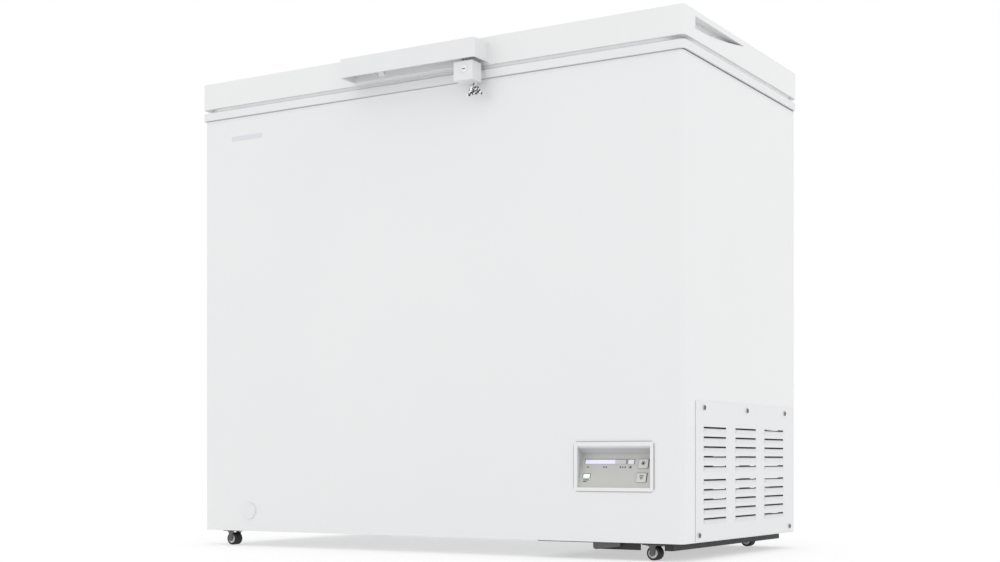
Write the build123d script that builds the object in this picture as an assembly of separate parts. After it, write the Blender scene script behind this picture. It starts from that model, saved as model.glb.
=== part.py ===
from build123d import *
from math import cos, radians, sin, tan
import os

# Chest freezer on four castors, in millimetres.
# +X is the right of someone facing the front, +Y points to the back, +Z is up.
# The origin lies on the floor, in the middle of the whole outline.

# Overall
lid_width = 945.0
lid_depth = 477.0
total_height = 827.0
body_inset = 4.0
handle_reach = 42.0
hinge_reach = 14.0
corner_radius = 6.0
sheet = 1.0
wall_foam = 57.5
floor_foam = 59.0

# Lid, seal and collar
lid_height = 46.0
seal_gap = 7.0
collar_height = 13.0
lid_sheet = 1.2
lid_corner_radius = 9.0
lid_edge_radius = 3.0
lid_liner_sheet = 1.5
bulge_depth = 6.5
bulge_clearance = 15.0
gasket_width = 24.0
gasket_setback = 8.0
gasket_compression_gap = 0.2
ledge_width = 12.0
ledge_drop = 8.0

# Side grips, as an outline from the front end of the opening
grip_length = 191.5
grip_height = 18.5
grip_depth = 14.0
grip_wall = 1.2
grip_start = 39.5
grip_below_top = 10.5
grip_back_share = 0.88
grip_back_height = 0.55
grip_back_inset = 4.0

# Inside
liner_sheet = 1.2
liner_radius = 20.0
bay_width = 252.5
bay_height = 215.0
step_foam = 53.0

# Handle
handle_length = 265.0
handle_height = 31.5
handle_below_top = 10.0
handle_wall = 3.0
handle_radius = 4.0
handle_end_slope = 2.5
rib_thickness = 10.0
rib_reach = 22.0
rib_share = 0.207

# Lock
lock_width = 35.6
lock_height = 31.0
lock_depth = 27.0
lock_neck_depth = 9.0
lock_from_handle_end = 25.2
lock_above_collar = 9.0
lock_wall = 1.8
barrel_offset = 1.7
barrel_drop = 13.0
barrel_radius = 4.5
lock_ring_radius = 6.2
cam_length = 10.4
cam_width = 4.0
cam_thickness = 2.5

# Keys
key_wire = 0.8
key_ring_radius = 4.5
key_length = 5.0
key_bow = 6.5
key_thickness = 1.6
key_spread = 55.0

# Control panel
panel_width = 137.0
panel_height = 77.3
panel_inset = 119.2
panel_height_up = 115.3
panel_frame = 6.5
panel_proud = 1.6
panel_corner = 7.0
panel_wall = 1.5
fascia_length = 54.0
fascia_thickness = 2.5
fascia_tilt = 18.2
fascia_front_gap = 1.0
button_width = 16.4
button_height = 15.3
button_clearance = 0.3
button_travel = 1.2

# Castors
wheel_radius = 11.0
wheel_headroom = 0.9
wheel_width = 18.0
axle_radius = 3.0
castor_front_inset = 57.5
castor_rear_inset = 77.5
castor_setback = 22.0
castor_sheet = 1.6
castor_plate_length = 34.0
castor_plate_width = 40.0
castor_strap_half = 4.4

# Compressor bay
tray_sheet = 1.5
tray_flange = 11.0
tray_side_gap = 24.0
tray_end_gap = 8.0
bracket_offset = 102.0
bracket_length = 46.0
compressor_radius = 62.0
compressor_height = 150.0
compressor_inset = 115.0
compressor_y = 60.0
rubber_foot_height = 12.0
pipe_radius = 4.0

# Side grille
grille_thickness = 2.4
grille_proud = 0.8
grille_setback = 44.6
grille_rear_gap = 3.0
grille_bottom_gap = 2.0
grille_overlap = 5.0
louvre_length = 88.0
louvre_pitch = 14.85
louvre_slot = 5.0
louvre_column_pitch = 126.3
louvre_columns = 3
louvre_rows = 5

# Drain
drain_cap_radius = 14.5
drain_inset = 107.2
drain_height = 36.0
drain_tube_radius = 8.0
drain_bore = 6.0
drain_setback = 100.0

# Hinges
hinge_inset = 142.5
hinge_barrel_radius = 7.0
hinge_pin_radius = 2.5
hinge_knuckle = 19.4
hinge_arm = 14.0
hinge_gap = 0.3
hinge_drop = 4.0

# Basket
basket_length = 300.0
basket_height = 178.0
basket_wire = 1.6
basket_rail = 2.4
basket_end_gap = 14.0
basket_wall_gap = 8.0

# Fasteners
screw_radius = 2.0
screw_head_radius = 4.0
screw_head_height = 1.8
running_gap = 0.05
part_gap = 0.3

# Smaller details
screw_recess = 2.2
leaf_sheet = 2.0
hinge_plate = 2.5
hinge_arm_relief = 0.4
spring_radius = 5.0
evaporator_loops = 5
evaporator_top_gap = 96.0
evaporator_bottom_gap = 50.0
condenser_tube = 2.5
condenser_runs = 12
condenser_pitch = 44.0
button_offset = 44.7
button_drops = (15.4, 37.7)
suction_height = 190.0
rear_cover_sheet = 1.5
louvre_start = 78.3
louvre_low = 31.4
louvre_band = 5.95
louvre_proud = 2.6
castor_rear_gap = 28.0
castor_play = 0.8
basket_hoops = 9
basket_long_wires = 6
basket_weld = 0.3
embed_gap = 1.0
castor_notch = 3.0

# Planes worked out from the sizes above
total_depth = handle_reach + lid_depth + hinge_reach
lid_front = handle_reach - total_depth / 2
lid_rear = lid_front + lid_depth
half_lid = lid_width / 2
floor_clearance = 2 * wheel_radius + wheel_headroom + castor_sheet + tray_sheet
castor_front_x = half_lid - castor_front_inset
castor_rear_x = half_lid - castor_rear_inset
panel_x = half_lid - panel_inset
hinge_x = half_lid - hinge_inset
drain_x = drain_inset - half_lid
body_front = lid_front + body_inset
body_rear = lid_rear - body_inset
half_body = half_lid - body_inset
body_bottom = floor_clearance
lid_bottom = total_height - lid_height
collar_top = lid_bottom - seal_gap
body_top = collar_top - collar_height
bay_left = half_body - sheet - bay_width
bay_top = body_bottom + bay_height
panel_z = body_bottom + panel_height_up
compressor_x = bay_left + compressor_inset
cavity_half = half_body - sheet - wall_foam
cavity_front = body_front + sheet + wall_foam
cavity_rear = body_rear - sheet - wall_foam
cavity_floor = body_bottom + sheet + floor_foam
step_left = bay_left - step_foam
step_floor = bay_top + sheet + step_foam
ledge_z = collar_top - ledge_drop
pivot_y = total_depth / 2 - hinge_barrel_radius
pivot_z = lid_bottom - hinge_drop
lock_x = handle_length / 2 - lock_from_handle_end
lock_bottom = body_top - lock_above_collar
lock_front = lid_front - lock_neck_depth - lock_depth
lock_rear = lock_front + lock_depth
barrel_x = lock_x + barrel_offset
barrel_z = lock_bottom + lock_height - barrel_drop
tongue_y = lock_front + lock_depth / 2 + 3.0
axle_z = wheel_radius
handle_top = total_height - handle_below_top
handle_bottom = handle_top - handle_height
tray_top = body_bottom
striker_x = barrel_x - cam_length - 2.6
striker_sheet = 2.0
key_eye_x = lock_x + lock_width / 2 - 7
key_eye_y = lock_rear - 9
key_eye_z = lock_bottom - 2.8
key_ring_z = key_eye_z - key_ring_radius
drain_z = body_bottom + drain_height
drain_y = body_front + drain_setback
suction_z = body_bottom + suction_height
drier_y = compressor_y + 60
drier_z = suction_z + 10
rear_cover_x = (bay_left + 14, half_body - 14)
rear_cover_z = (body_bottom + 16, bay_top - 14)
gland_x = bay_left + 44
gland_z = body_bottom + 40
leaf_screw_z = (lid_bottom + 14, lid_bottom + 32)
evaporator_bottom = step_floor + evaporator_bottom_gap
evaporator_pitch = (body_top - evaporator_top_gap - evaporator_bottom) / (evaporator_loops - 1)


def block(x0, x1, y0, y1, z0, z1):
    """Box between two corners."""
    size = (x1 - x0, y1 - y0, z1 - z0)
    middle = ((x0 + x1) / 2, (y0 + y1) / 2, (z0 + z1) / 2)
    return Pos(*middle) * Box(*size)


def rounded(x0, x1, y0, y1, z0, z1, radius):
    """Box whose four upright edges are rounded."""
    middle = Pos((x0 + x1) / 2, (y0 + y1) / 2, z0)
    return extrude(middle * RectangleRounded(x1 - x0, y1 - y0, radius), z1 - z0)


def rod(start, end, radius):
    """Cylinder from one point to another."""
    way = Vector(end) - Vector(start)
    return extrude(Plane(start, z_dir=way) * Circle(radius), way.length)


def route(points, radius):
    """Wire of straight runs joined by tangent arcs of one radius."""
    corners = [Vector(point) for point in points]
    edges = []
    start = corners[0]
    for before, corner, after in zip(corners, corners[1:], corners[2:]):
        back = (before - corner).normalized()
        onward = (after - corner).normalized()
        half_turn = radians(180 - back.get_angle(onward)) / 2
        enter = corner + back * (radius * tan(half_turn))
        leave = corner + onward * (radius * tan(half_turn))
        inward = (back + onward).normalized()
        middle = corner + inward * (radius / cos(half_turn) - radius)
        edges.append(Edge.make_line(start, enter))
        edges.append(Edge.make_three_point_arc(enter, middle, leave))
        start = leave
    edges.append(Edge.make_line(start, corners[-1]))
    return Wire(edges)


def tube(points, bend, radius):
    """Round bar along a route."""
    path = route(points, bend)
    return sweep(Plane(path @ 0, z_dir=path % 0) * Circle(radius), path=path)


def screw(tip, head, radius=screw_radius):
    """Pan-head screw; its head lies just beyond the second point."""
    way = (Vector(head) - Vector(tip)).normalized()
    seat = Vector(head)
    return rod(tip, head, radius) + rod(seat, seat + way * screw_head_height, screw_head_radius)


def both_sides(shape):
    """The shape and its mirror image across the middle."""
    return [shape, mirror(shape, about=Plane.YZ)]


# Screws, each from its tip to the underside of its head

def grille_screw_places():
    """Upper row of three and lower row of two, on the right side."""
    upper = [lid_front + setback for setback in (78.7, 252.0, 423.1)]
    lower = [lid_front + setback for setback in (60.0, 447.0)]
    return [(y, body_bottom + 205.0) for y in upper] + [(y, body_bottom + 11.0) for y in lower]


def grille_screws():
    outside = half_body + grille_proud
    return [screw((outside - 12, y, z), (outside, y, z)) for y, z in grille_screw_places()]


def rear_cover_screws():
    y = body_rear + rear_cover_sheet
    places = [(x, z) for x in rear_cover_x for z in rear_cover_z]
    return [screw((x, y - 10, z), (x, y, z)) for x, z in places]


def hinge_base_screws():
    y = body_rear + hinge_plate
    places = [(x, body_top - drop) for x in (-24, 24) for drop in (14, 60)]
    seats = [(side * hinge_x + x, z) for side in (-1, 1) for x, z in places]
    return [screw((x, y - 14, z), (x, y, z)) for x, z in seats]


def lock_screws():
    y = lock_rear - screw_recess
    z = body_top + collar_height / 2
    return [screw((lock_x + x, lid_front + 8, z), (lock_x + x, y, z)) for x in (-7.5, 7.5)]


def handle_screws():
    y = lid_front - handle_wall
    z = (handle_top + handle_bottom) / 2 + 2
    return [screw((x, y + 14, z), (x, y, z)) for x in (-90.0, -15.0, 60.0)]


def striker_screw():
    y = lid_front - handle_wall - striker_sheet
    return [screw((striker_x, y + 14, handle_bottom + 15), (striker_x, y, handle_bottom + 15))]


def leaf_screws():
    y = lid_rear + leaf_sheet
    places = [(side * hinge_x + x, z) for side in (-1, 1) for x in (-5, 5) for z in leaf_screw_z]
    return [screw((x, y - 12, z), (x, y, z)) for x, z in places]


def less(shape, cutters):
    """The shape with every cutter taken away."""
    for cutter in cutters:
        shape = shape - cutter
    return shape


# Cabinet

def panel_hole():
    """Hole in the front for the walls of the control recess."""
    half_w = panel_width / 2 - panel_frame + panel_wall
    half_h = panel_height / 2 - panel_frame + panel_wall
    return block(panel_x - half_w, panel_x + half_w, body_front - 1, body_front + sheet + 1,
                 panel_z - half_h, panel_z + half_h)


def grille_span(margin):
    """Outline of the side grille as y and z limits, shrunk by a margin."""
    y0 = body_front + grille_setback + margin
    y1 = body_rear - grille_rear_gap - margin
    z0 = body_bottom + grille_bottom_gap + margin
    return y0, y1, z0, bay_top - margin


def outer_shell():
    """Front and both sides, folded from one sheet."""
    outer = rounded(-half_body, half_body, body_front, body_rear + corner_radius * 2,
                    body_bottom, body_top, corner_radius)
    wrap = outer - inside_shell(body_bottom - 1, body_top + 1) - block(-half_lid, half_lid, body_rear, body_rear + 50, 0, total_height)
    y0, y1, z0, z1 = grille_span(grille_overlap)
    vent = block(half_body - 5, half_body + 5, y0, y1, z0, z1)
    drain = rod((drain_x, body_front - 1, drain_z), (drain_x, body_front + 5, drain_z),
                drain_tube_radius)
    return less(wrap, [panel_hole(), vent, drain] + grille_screws())


def rear_panel():
    """Flat back with a cut-out over the compressor bay."""
    panel = block(-half_body + sheet, half_body - sheet, body_rear - sheet, body_rear,
                  body_bottom + sheet, body_top)
    opening = block(bay_left + 12, half_body - 12, body_rear - 5, body_rear + 5,
                    body_bottom + 14, bay_top - 12)
    return less(panel, [opening] + rear_cover_screws() + hinge_base_screws())


def inside_shell(z0, z1):
    """Everything that the folded shell encloses between two heights."""
    return rounded(-half_body + sheet, half_body - sheet, body_front + sheet,
                   body_rear + corner_radius * 4, z0, z1, corner_radius - sheet)


def bottom_panel():
    """Flat bottom under the foam, left of the compressor bay."""
    panel = block(-half_body + sheet, bay_left, body_front + sheet, body_rear,
                  body_bottom, body_bottom + sheet)
    return panel & inside_shell(body_bottom, body_bottom + sheet)


def bay_partition():
    """Step-shaped sheet between the foam and the compressor bay."""
    upright = block(bay_left, bay_left + sheet, body_front + sheet, body_rear - sheet,
                    body_bottom + sheet, bay_top + sheet)
    roof = block(bay_left, half_body - sheet, body_front + sheet, body_rear - sheet,
                 bay_top, bay_top + sheet)
    return (upright + roof & inside_shell(body_bottom, body_top)) - suction_bore()


def suction_bore():
    """Straight hole round the suction line where it enters the foam."""
    return rod(pipe_points()[0], (bay_left + 20, compressor_y, suction_z), pipe_radius)


def cavity(grow):
    """Storage space with its step, grown outward by an amount."""
    deep = rounded(-cavity_half - grow, step_left + grow, cavity_front - grow,
                   cavity_rear + grow, cavity_floor - grow, body_top, liner_radius)
    top = rounded(-cavity_half - grow, cavity_half + grow, cavity_front - grow,
                  cavity_rear + grow, step_floor - grow, body_top, liner_radius)
    return deep + top


def inner_liner():
    """Thin tub; its floor drain is a hole at the low front."""
    tub = cavity(liner_sheet) - cavity(0)
    hole = rod((drain_x, drain_y, cavity_floor - 5), (drain_x, drain_y, cavity_floor + 5),
               drain_bore)
    return tub - hole


def cabinet_foam():
    """Foam between the shell and the liner, with room for what is cast in."""
    filling = block(-half_body, half_body, body_front, body_rear - sheet,
                    body_bottom + sheet, body_top) & inside_shell(body_bottom, body_top)
    bay = block(bay_left, half_body, body_front, body_rear, body_bottom, bay_top + sheet)
    bores = [evaporator_coil(), condenser_coil(), drain_envelope(), suction_bore()]
    return less(filling - cavity(liner_sheet) - bay, bores + hinge_base_screws())


def rim_collar():
    """Moulded rim on top of the walls, with a low ledge inside for the basket."""
    ring = rounded(-half_lid, half_lid, lid_front, lid_rear, body_top, collar_top,
                   lid_corner_radius)
    throat = rounded(-cavity_half, cavity_half, cavity_front, cavity_rear, body_top - 1,
                     collar_top + 1, liner_radius)
    rebate = rounded(-cavity_half - ledge_width, cavity_half + ledge_width,
                     cavity_front - ledge_width, cavity_rear + ledge_width, ledge_z,
                     collar_top + 1, liner_radius)
    return less(ring - throat - rebate, lock_screws())


def evaporator_coil():
    """Loops of tube soldered round the outside of the liner."""
    out = liner_sheet + pipe_radius + embed_gap
    loops = []
    for level in range(evaporator_loops):
        z = evaporator_bottom + level * evaporator_pitch
        plan = Pos(0, (cavity_front + cavity_rear) / 2, z) * RectangleRounded(
            2 * (cavity_half + out), cavity_rear - cavity_front + 2 * out, liner_radius + out)
        path = plan.wire()
        loops.append(sweep(Plane(path @ 0, z_dir=path % 0) * Circle(pipe_radius), path=path))
    return Compound(loops)


def condenser_coil():
    """Zigzag tube against the inside of the back."""
    y = body_rear - sheet - condenser_tube - embed_gap
    low = body_bottom + 70
    high = body_top - 90
    points = []
    for turn in range(condenser_runs):
        x = -cavity_half + turn * condenser_pitch
        ends = (low, high) if turn % 2 == 0 else (high, low)
        points += [(x, y, ends[0]), (x, y, ends[1])]
    return tube(points, condenser_pitch / 2.2, condenser_tube)


# Lid

def grip_outline(x, length, height, start):
    """Side grip section at one x: straight front and top, lower edge rising to the rear tip."""
    y = lid_front + start
    z = total_height - grip_below_top
    low = z - height
    front = Line((y, low), (y, z))
    top = Line((y, z), (y + length, z))
    lower = Spline((y + length, z), (y + length * 0.7, low + height * 0.53),
                   (y + length * 0.3, low + height * 0.11), (y, low))
    side = Plane((x, 0, 0), x_dir=(0, 1, 0), z_dir=(1, 0, 0))
    return side * make_face([front, top, lower])


def grip_room():
    """Finger space: the opening's outline drawn up and in towards the back of the cup."""
    mouth = grip_outline(half_lid, grip_length, grip_height, grip_start)
    back = grip_outline(half_lid - grip_depth, grip_length * grip_back_share,
                        grip_height * grip_back_height, grip_start + grip_back_inset)
    return loft([mouth, back], ruled=True)


def side_grips():
    """Finger cup on each side of the lid."""
    cup = grip_cup_blank(grip_wall) - grip_room()
    return both_sides(cup)


def grip_cup_blank(wall):
    """Outside of the cup, at least a wall's thickness round the opening."""
    side = Plane((half_lid, 0, 0), x_dir=(0, 1, 0), z_dir=(1, 0, 0))
    y = lid_front + grip_start
    z = total_height - grip_below_top
    low = z - grip_height - wall
    end = y + grip_length + wall
    corners = [(y - wall, low), (y - wall, z + wall), (end, z + wall), (end, z - 2 * wall),
               (y + grip_length * 0.35, low)]
    return extrude(side * make_face(Polyline(*corners, close=True)), -(grip_depth + wall))


def lid_blank():
    """Whole outside of the lid."""
    lid = rounded(-half_lid, half_lid, lid_front, lid_rear, lid_bottom, total_height,
                  lid_corner_radius)
    return fillet(lid.faces().sort_by(Axis.Z)[-1].edges(), lid_edge_radius)


def lid_shell():
    """Pressed steel tray, open below."""
    hollow = rounded(-half_lid + lid_sheet, half_lid - lid_sheet, lid_front + lid_sheet,
                     lid_rear - lid_sheet, lid_bottom - 1, total_height - lid_sheet,
                     lid_corner_radius - lid_sheet)
    hollow = fillet(hollow.faces().sort_by(Axis.Z)[-1].edges(), lid_edge_radius - lid_sheet)
    fixings = handle_screws() + striker_screw() + leaf_screws()
    return less(lid_blank() - hollow, both_sides(grip_cup_blank(grip_wall)) + fixings)


def lid_inside(z0, z1):
    return rounded(-half_lid + lid_sheet, half_lid - lid_sheet, lid_front + lid_sheet,
                   lid_rear - lid_sheet, z0, z1, lid_corner_radius - lid_sheet)


def lid_foam():
    foam = lid_inside(lid_bottom + lid_liner_sheet, total_height - lid_sheet)
    foam = fillet(foam.faces().sort_by(Axis.Z)[-1].edges(), lid_edge_radius - lid_sheet)
    fixings = handle_screws() + striker_screw() + leaf_screws()
    return less(foam, both_sides(grip_cup_blank(grip_wall)) + fixings)


def lid_liner():
    """Flat liner whose middle bulges down into the opening."""
    flat = lid_inside(lid_bottom, lid_bottom + lid_liner_sheet)
    gap = bulge_clearance
    plan = Pos(0, (cavity_front + cavity_rear) / 2, lid_bottom) * RectangleRounded(
        2 * (cavity_half - gap), cavity_rear - cavity_front - 2 * gap, liner_radius)
    return flat + extrude(plan, -bulge_depth, taper=30)


def lid_gasket():
    """Soft seal ring under the lid's edge."""
    outer = rounded(-half_lid + gasket_setback, half_lid - gasket_setback,
                    lid_front + gasket_setback, lid_rear - gasket_setback,
                    collar_top + gasket_compression_gap, lid_bottom, lid_corner_radius)
    inset = gasket_setback + gasket_width
    inner = rounded(-half_lid + inset, half_lid - inset, lid_front + inset, lid_rear - inset,
                    collar_top - 1, lid_bottom + 1, lid_corner_radius)
    return outer - inner


def handle():
    """Grab handle across the lid's front, hollow from below."""
    half = handle_length / 2
    front = lid_front - handle_reach
    outer = block(-half, half, front, lid_front, handle_bottom, handle_top)
    upright = outer.edges().filter_by(Axis.Z).sort_by(Axis.Y)[:2]
    outer = fillet(upright, handle_radius)
    rim = outer.faces().sort_by(Axis.Z)[-1].edges().sort_by(Axis.Y)[:-1]
    outer = fillet(rim, handle_radius * 0.6)
    wall = handle_wall
    pocket = block(-half + wall, half - wall, front + wall, lid_front - wall,
                   handle_bottom - 1, handle_top - wall)
    pocket = fillet(pocket.edges().filter_by(Axis.Z).sort_by(Axis.Y)[:2], handle_radius / 2)
    rib_x = -half + handle_length * rib_share
    corners = [(lid_front - wall - rib_reach, handle_top - wall), (lid_front - wall, handle_top - wall),
               (lid_front - wall, handle_bottom + 4)]
    side = Plane((rib_x, 0, 0), x_dir=(0, 1, 0), z_dir=(1, 0, 0))
    rib = extrude(side * make_face(Polyline(*corners, close=True)), rib_thickness)
    return less(outer - pocket + rib, handle_screws() + striker_screw())


def striker():
    """Hooked tongue on the lid that hangs down into the lock."""
    back = lid_front - handle_wall
    top = handle_bottom + 20
    arm_z = handle_bottom + 5
    foot_top = barrel_z - cam_width / 2 - part_gap
    stem_right = barrel_x - cam_length - part_gap * 2
    stem_left = stem_right - 4
    plate = block(striker_x - 6, striker_x + 6, back - striker_sheet, back, arm_z, top)
    arm = block(stem_left, striker_x + 6, tongue_y - cam_thickness / 2, back, arm_z,
                arm_z + striker_sheet)
    stem = block(stem_left, stem_right, tongue_y - cam_thickness / 2,
                 tongue_y + cam_thickness / 2, foot_top - 4, arm_z + striker_sheet)
    foot = block(stem_left, stem_right + 5, tongue_y - cam_thickness / 2,
                 tongue_y + cam_thickness / 2, foot_top - 4, foot_top)
    return less(plate + arm + stem + foot, striker_screw())


# Lock

def lock_housing():
    """Hollow block in front of the seal, with a slot in its top for the tongue."""
    x0 = lock_x - lock_width / 2
    x1 = lock_x + lock_width / 2
    top = lock_bottom + lock_height
    outer = block(x0, x1, lock_front, lock_rear, lock_bottom, top)
    outer = fillet(outer.edges().filter_by(Axis.Y), 1.5)
    outer = fillet(outer.faces().sort_by(Axis.Y)[0].edges(), 1.0)
    wall = lock_wall
    room = block(x0 + wall, x1 - wall, lock_front + wall, lock_rear + 1,
                 lock_bottom + wall, top - wall)
    slot = block(barrel_x - cam_length - 7, barrel_x - cam_length + 7,
                 tongue_y - 5, tongue_y + 5, top - wall - 1, top + 1)
    bore = rod((barrel_x, lock_front - 1, barrel_z), (barrel_x, lock_front + 8, barrel_z),
               lock_ring_radius)
    eye = block(key_eye_x - 3, key_eye_x + 3, key_eye_y - 1, key_eye_y + 1,
                lock_bottom - 5.5, lock_bottom)
    hole = rod((key_eye_x, key_eye_y - 3, key_eye_z), (key_eye_x, key_eye_y + 3, key_eye_z),
               key_wire + part_gap * 2)
    return less(outer - room + eye, [slot, bore, hole])


def lock_base():
    """Block behind the housing that holds it to the collar."""
    half = lock_width / 2 - 5
    base = block(lock_x - half, lock_x + half, lock_rear, lid_front, body_top + 0.5,
                 collar_top - 0.5)
    return less(base, lock_screws())


def lock_ring():
    """Bright ring round the barrel."""
    start = lock_front - 0.8
    ring = rod((barrel_x, start, barrel_z), (barrel_x, lock_front + 8, barrel_z),
               lock_ring_radius)
    bore = rod((barrel_x, start - 1, barrel_z), (barrel_x, lock_front + 9, barrel_z),
               barrel_radius + running_gap)
    return ring - bore


def lock_barrel():
    """Turning core with its keyway."""
    front = lock_front - 0.5
    core = rod((barrel_x, front, barrel_z), (barrel_x, tongue_y - cam_thickness / 2, barrel_z),
               barrel_radius)
    keyway = block(barrel_x - 3, barrel_x + 3, front - 1, front + 9, barrel_z - 0.7,
                   barrel_z + 0.7)
    return core - keyway


def lock_cam():
    """Arm on the barrel that swings over the tongue's foot."""
    y0 = tongue_y - cam_thickness / 2
    hub = rod((barrel_x, y0, barrel_z), (barrel_x, y0 + cam_thickness, barrel_z), cam_width)
    arm = block(barrel_x - cam_width / 2, barrel_x + cam_width / 2, y0, y0 + cam_thickness,
                barrel_z, barrel_z + cam_length)
    return hub + arm


def key_ring():
    """Split ring through the eye under the lock, in an upright plane."""
    plane = Plane((key_eye_x, key_eye_y, key_ring_z), x_dir=(0, 1, 0), z_dir=(1, 0, 0))
    path = (plane * Circle(key_ring_radius)).wire()
    return sweep(Plane(path @ 0, z_dir=path % 0) * Circle(key_wire), path=path)


def key_pair():
    """Two small keys fanned on the ring, one in front of the other."""
    low = key_ring_z - key_ring_radius
    keys = []
    for side in (-1, 1):
        bow = Circle(key_bow)
        drop = key_bow + key_length
        shaft = Pos(0, -(key_bow - 1 + drop) / 2) * Rectangle(3.6, drop - key_bow + 1)
        teeth = Pos(1.6, -drop + 4) * Rectangle(3.0, 5.0)
        hole = Pos(0, key_bow - 2.6) * Circle(key_wire + 0.9)
        flat = Pos(0, -key_bow + 2.6) * (bow + shaft + teeth - hole)
        y = key_eye_y + side * (key_thickness / 2 + 0.15)
        place = Plane((key_eye_x, y + key_thickness / 2, low), x_dir=(1, 0, 0),
                      z_dir=(0, -1, 0))
        keys.append(extrude(place * (Rot(0, 0, side * key_spread) * flat), key_thickness))
    return keys


# Control panel

def fascia_plane():
    """Plane on the fascia's face: its x runs right, its y runs up the slope."""
    tilt = radians(fascia_tilt)
    half_h = panel_height / 2 - panel_frame
    low = (panel_x, body_front + fascia_front_gap, panel_z - half_h)
    return Plane(low, x_dir=(1, 0, 0), z_dir=(0, -cos(tilt), sin(tilt)))


def on_fascia(x, down, width, height, out, depth):
    """Box on the fascia, placed by its centre and its distance below the top edge."""
    middle = Location((x - panel_x, fascia_length - down, (out - depth) / 2))
    return fascia_plane() * middle * Box(width, height, out + depth)


def control_bezel():
    """Frame on the front with the walls of the recess behind it."""
    half_w = panel_width / 2
    half_h = panel_height / 2
    y = body_front - panel_proud
    face = Plane((panel_x, y, panel_z), x_dir=(1, 0, 0), z_dir=(0, 1, 0))
    frame = extrude(face * RectangleRounded(panel_width, panel_height, panel_corner), panel_proud)
    frame = fillet(frame.faces().sort_by(Axis.Y)[0].edges(), 0.8)
    inner_w = half_w - panel_frame
    inner_h = half_h - panel_frame
    walls = block(panel_x - inner_w - panel_wall, panel_x + inner_w + panel_wall, body_front,
                  body_front + fascia_depth(), panel_z - inner_h - panel_wall,
                  panel_z + inner_h + panel_wall)
    room = block(panel_x - inner_w, panel_x + inner_w, body_front, body_front + 60,
                 panel_z - inner_h, panel_z + inner_h)
    behind = on_fascia(panel_x, fascia_length / 2, 2 * inner_w, fascia_length,
                       -fascia_thickness, 60)
    return frame + walls - panel_recess() - (behind & room)


def fascia_depth():
    return fascia_front_gap + fascia_length * sin(radians(fascia_tilt)) + fascia_thickness


def panel_recess():
    """Space in front of the fascia, under a sloping ceiling."""
    half_h = panel_height / 2 - panel_frame
    half_w = panel_width / 2 - panel_frame
    tilt = radians(fascia_tilt)
    y0 = body_front - panel_proud - 1
    low = panel_z - half_h
    rise = fascia_length * cos(tilt)
    run = fascia_length * sin(tilt)
    y1 = body_front + fascia_front_gap
    corners = [(y0, low), (y1, low), (y1 + run, low + rise), (y0, panel_z + half_h)]
    side = Plane((panel_x - half_w, 0, 0), x_dir=(0, 1, 0), z_dir=(1, 0, 0))
    return extrude(side * make_face(Polyline(*corners, close=True)), 2 * half_w) + fascia_room()


def fascia_room():
    """Slab cut out of the walls so that the fascia can sit there."""
    width = panel_width - 2 * panel_frame
    return on_fascia(panel_x, fascia_length / 2, width, fascia_length, 0, fascia_thickness)


def lamp(x, down, width, height):
    return on_fascia(x, down, width, height, 0.4, fascia_thickness)


def bar_lens():
    return lamp(panel_x - 20.0, 12.2, 71.9, 8.0)


def boost_lamp():
    return lamp(panel_x + 23.3, 12.2, 12.0, 8.0)


def running_lamp():
    return lamp(panel_x - 49.5, 35.0, 13.0, 7.3)


def button(down):
    """Push button whose collar behind the fascia keeps it in."""
    x = panel_x + button_offset
    cap = on_fascia(x, down, button_width, button_height, 1.8, fascia_thickness + part_gap)
    start = fascia_thickness + part_gap
    collar = on_fascia(x, down, button_width + 2, button_height + 2, -start, start + 1)
    return cap + collar


def control_fascia():
    """Sloping fascia with holes for lamps and buttons."""
    holes = []
    for down in button_drops:
        width = button_width + 2 * button_clearance
        height = button_height + 2 * button_clearance
        x = panel_x + button_offset
        holes.append(on_fascia(x, down, width, height, 2, fascia_thickness + 2))
    return less(fascia_room(), holes + [bar_lens(), boost_lamp(), running_lamp()])


def control_board():
    """Circuit board behind the fascia with a switch under each button."""
    back = fascia_thickness + 8
    board = on_fascia(panel_x, fascia_length / 2, 112, 46, -back, back + 1.6)
    for down in button_drops:
        x = panel_x + button_offset
        top = fascia_thickness + part_gap + 1 + button_travel + part_gap
        board = board + on_fascia(x, down, 6, 6, -top, back)
    return board


# Compressor bay

def compressor_tray():
    """Dark pan under the bay, its edges folded down from the bracket to the right."""
    x1 = half_body - tray_side_gap + 4
    y0 = body_front + tray_end_gap
    y1 = body_rear - tray_end_gap * 2
    low = tray_top - tray_flange
    pan = block(bay_left, x1, y0, y1, low, tray_top)
    pan = fillet(pan.edges().filter_by(Axis.Z), 3)
    under = block(bay_left + tray_sheet, x1 - tray_sheet, y0 + tray_sheet, y1 - tray_sheet,
                  low - 1, tray_top - tray_sheet)
    bolts = [rod((x, y, 0), (x, y, tray_top + 5), 3) for x, y in foot_places()]
    notches = [block(x - castor_plate_length / 2 - castor_notch,
                     x + castor_plate_length / 2 + castor_notch, y - wheel_width,
                     y + wheel_width, low - 1, tray_top - tray_sheet)
               for x, y in castor_places().values()]
    open_side = block(bay_left - 1, bay_left + bracket_offset, y0 - 1, y1 + 1, low - 1,
                      tray_top - tray_sheet)
    return less(pan - under, bolts + notches + [open_side])


def tray_bracket():
    """Wedge-shaped cross bracket below the front edge, left of the castor."""
    y1 = body_front + tray_end_gap - part_gap
    x0 = bay_left + bracket_offset
    low = tray_top - tray_flange
    corners = [(x0, tray_top), (x0 + bracket_length, tray_top), (x0 + bracket_length, low + 5),
               (x0 + 4, low - 0.5), (x0, low + 2)]
    face = Plane((0, y1, 0), x_dir=(1, 0, 0), z_dir=(0, -1, 0))
    return extrude(face * make_face(Polyline(*corners, close=True)), 5 - part_gap)


def foot_places():
    reach = compressor_radius * 0.9
    return [(compressor_x + x, compressor_y + y) for x in (-reach, reach) for y in (-reach, reach)]


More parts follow.
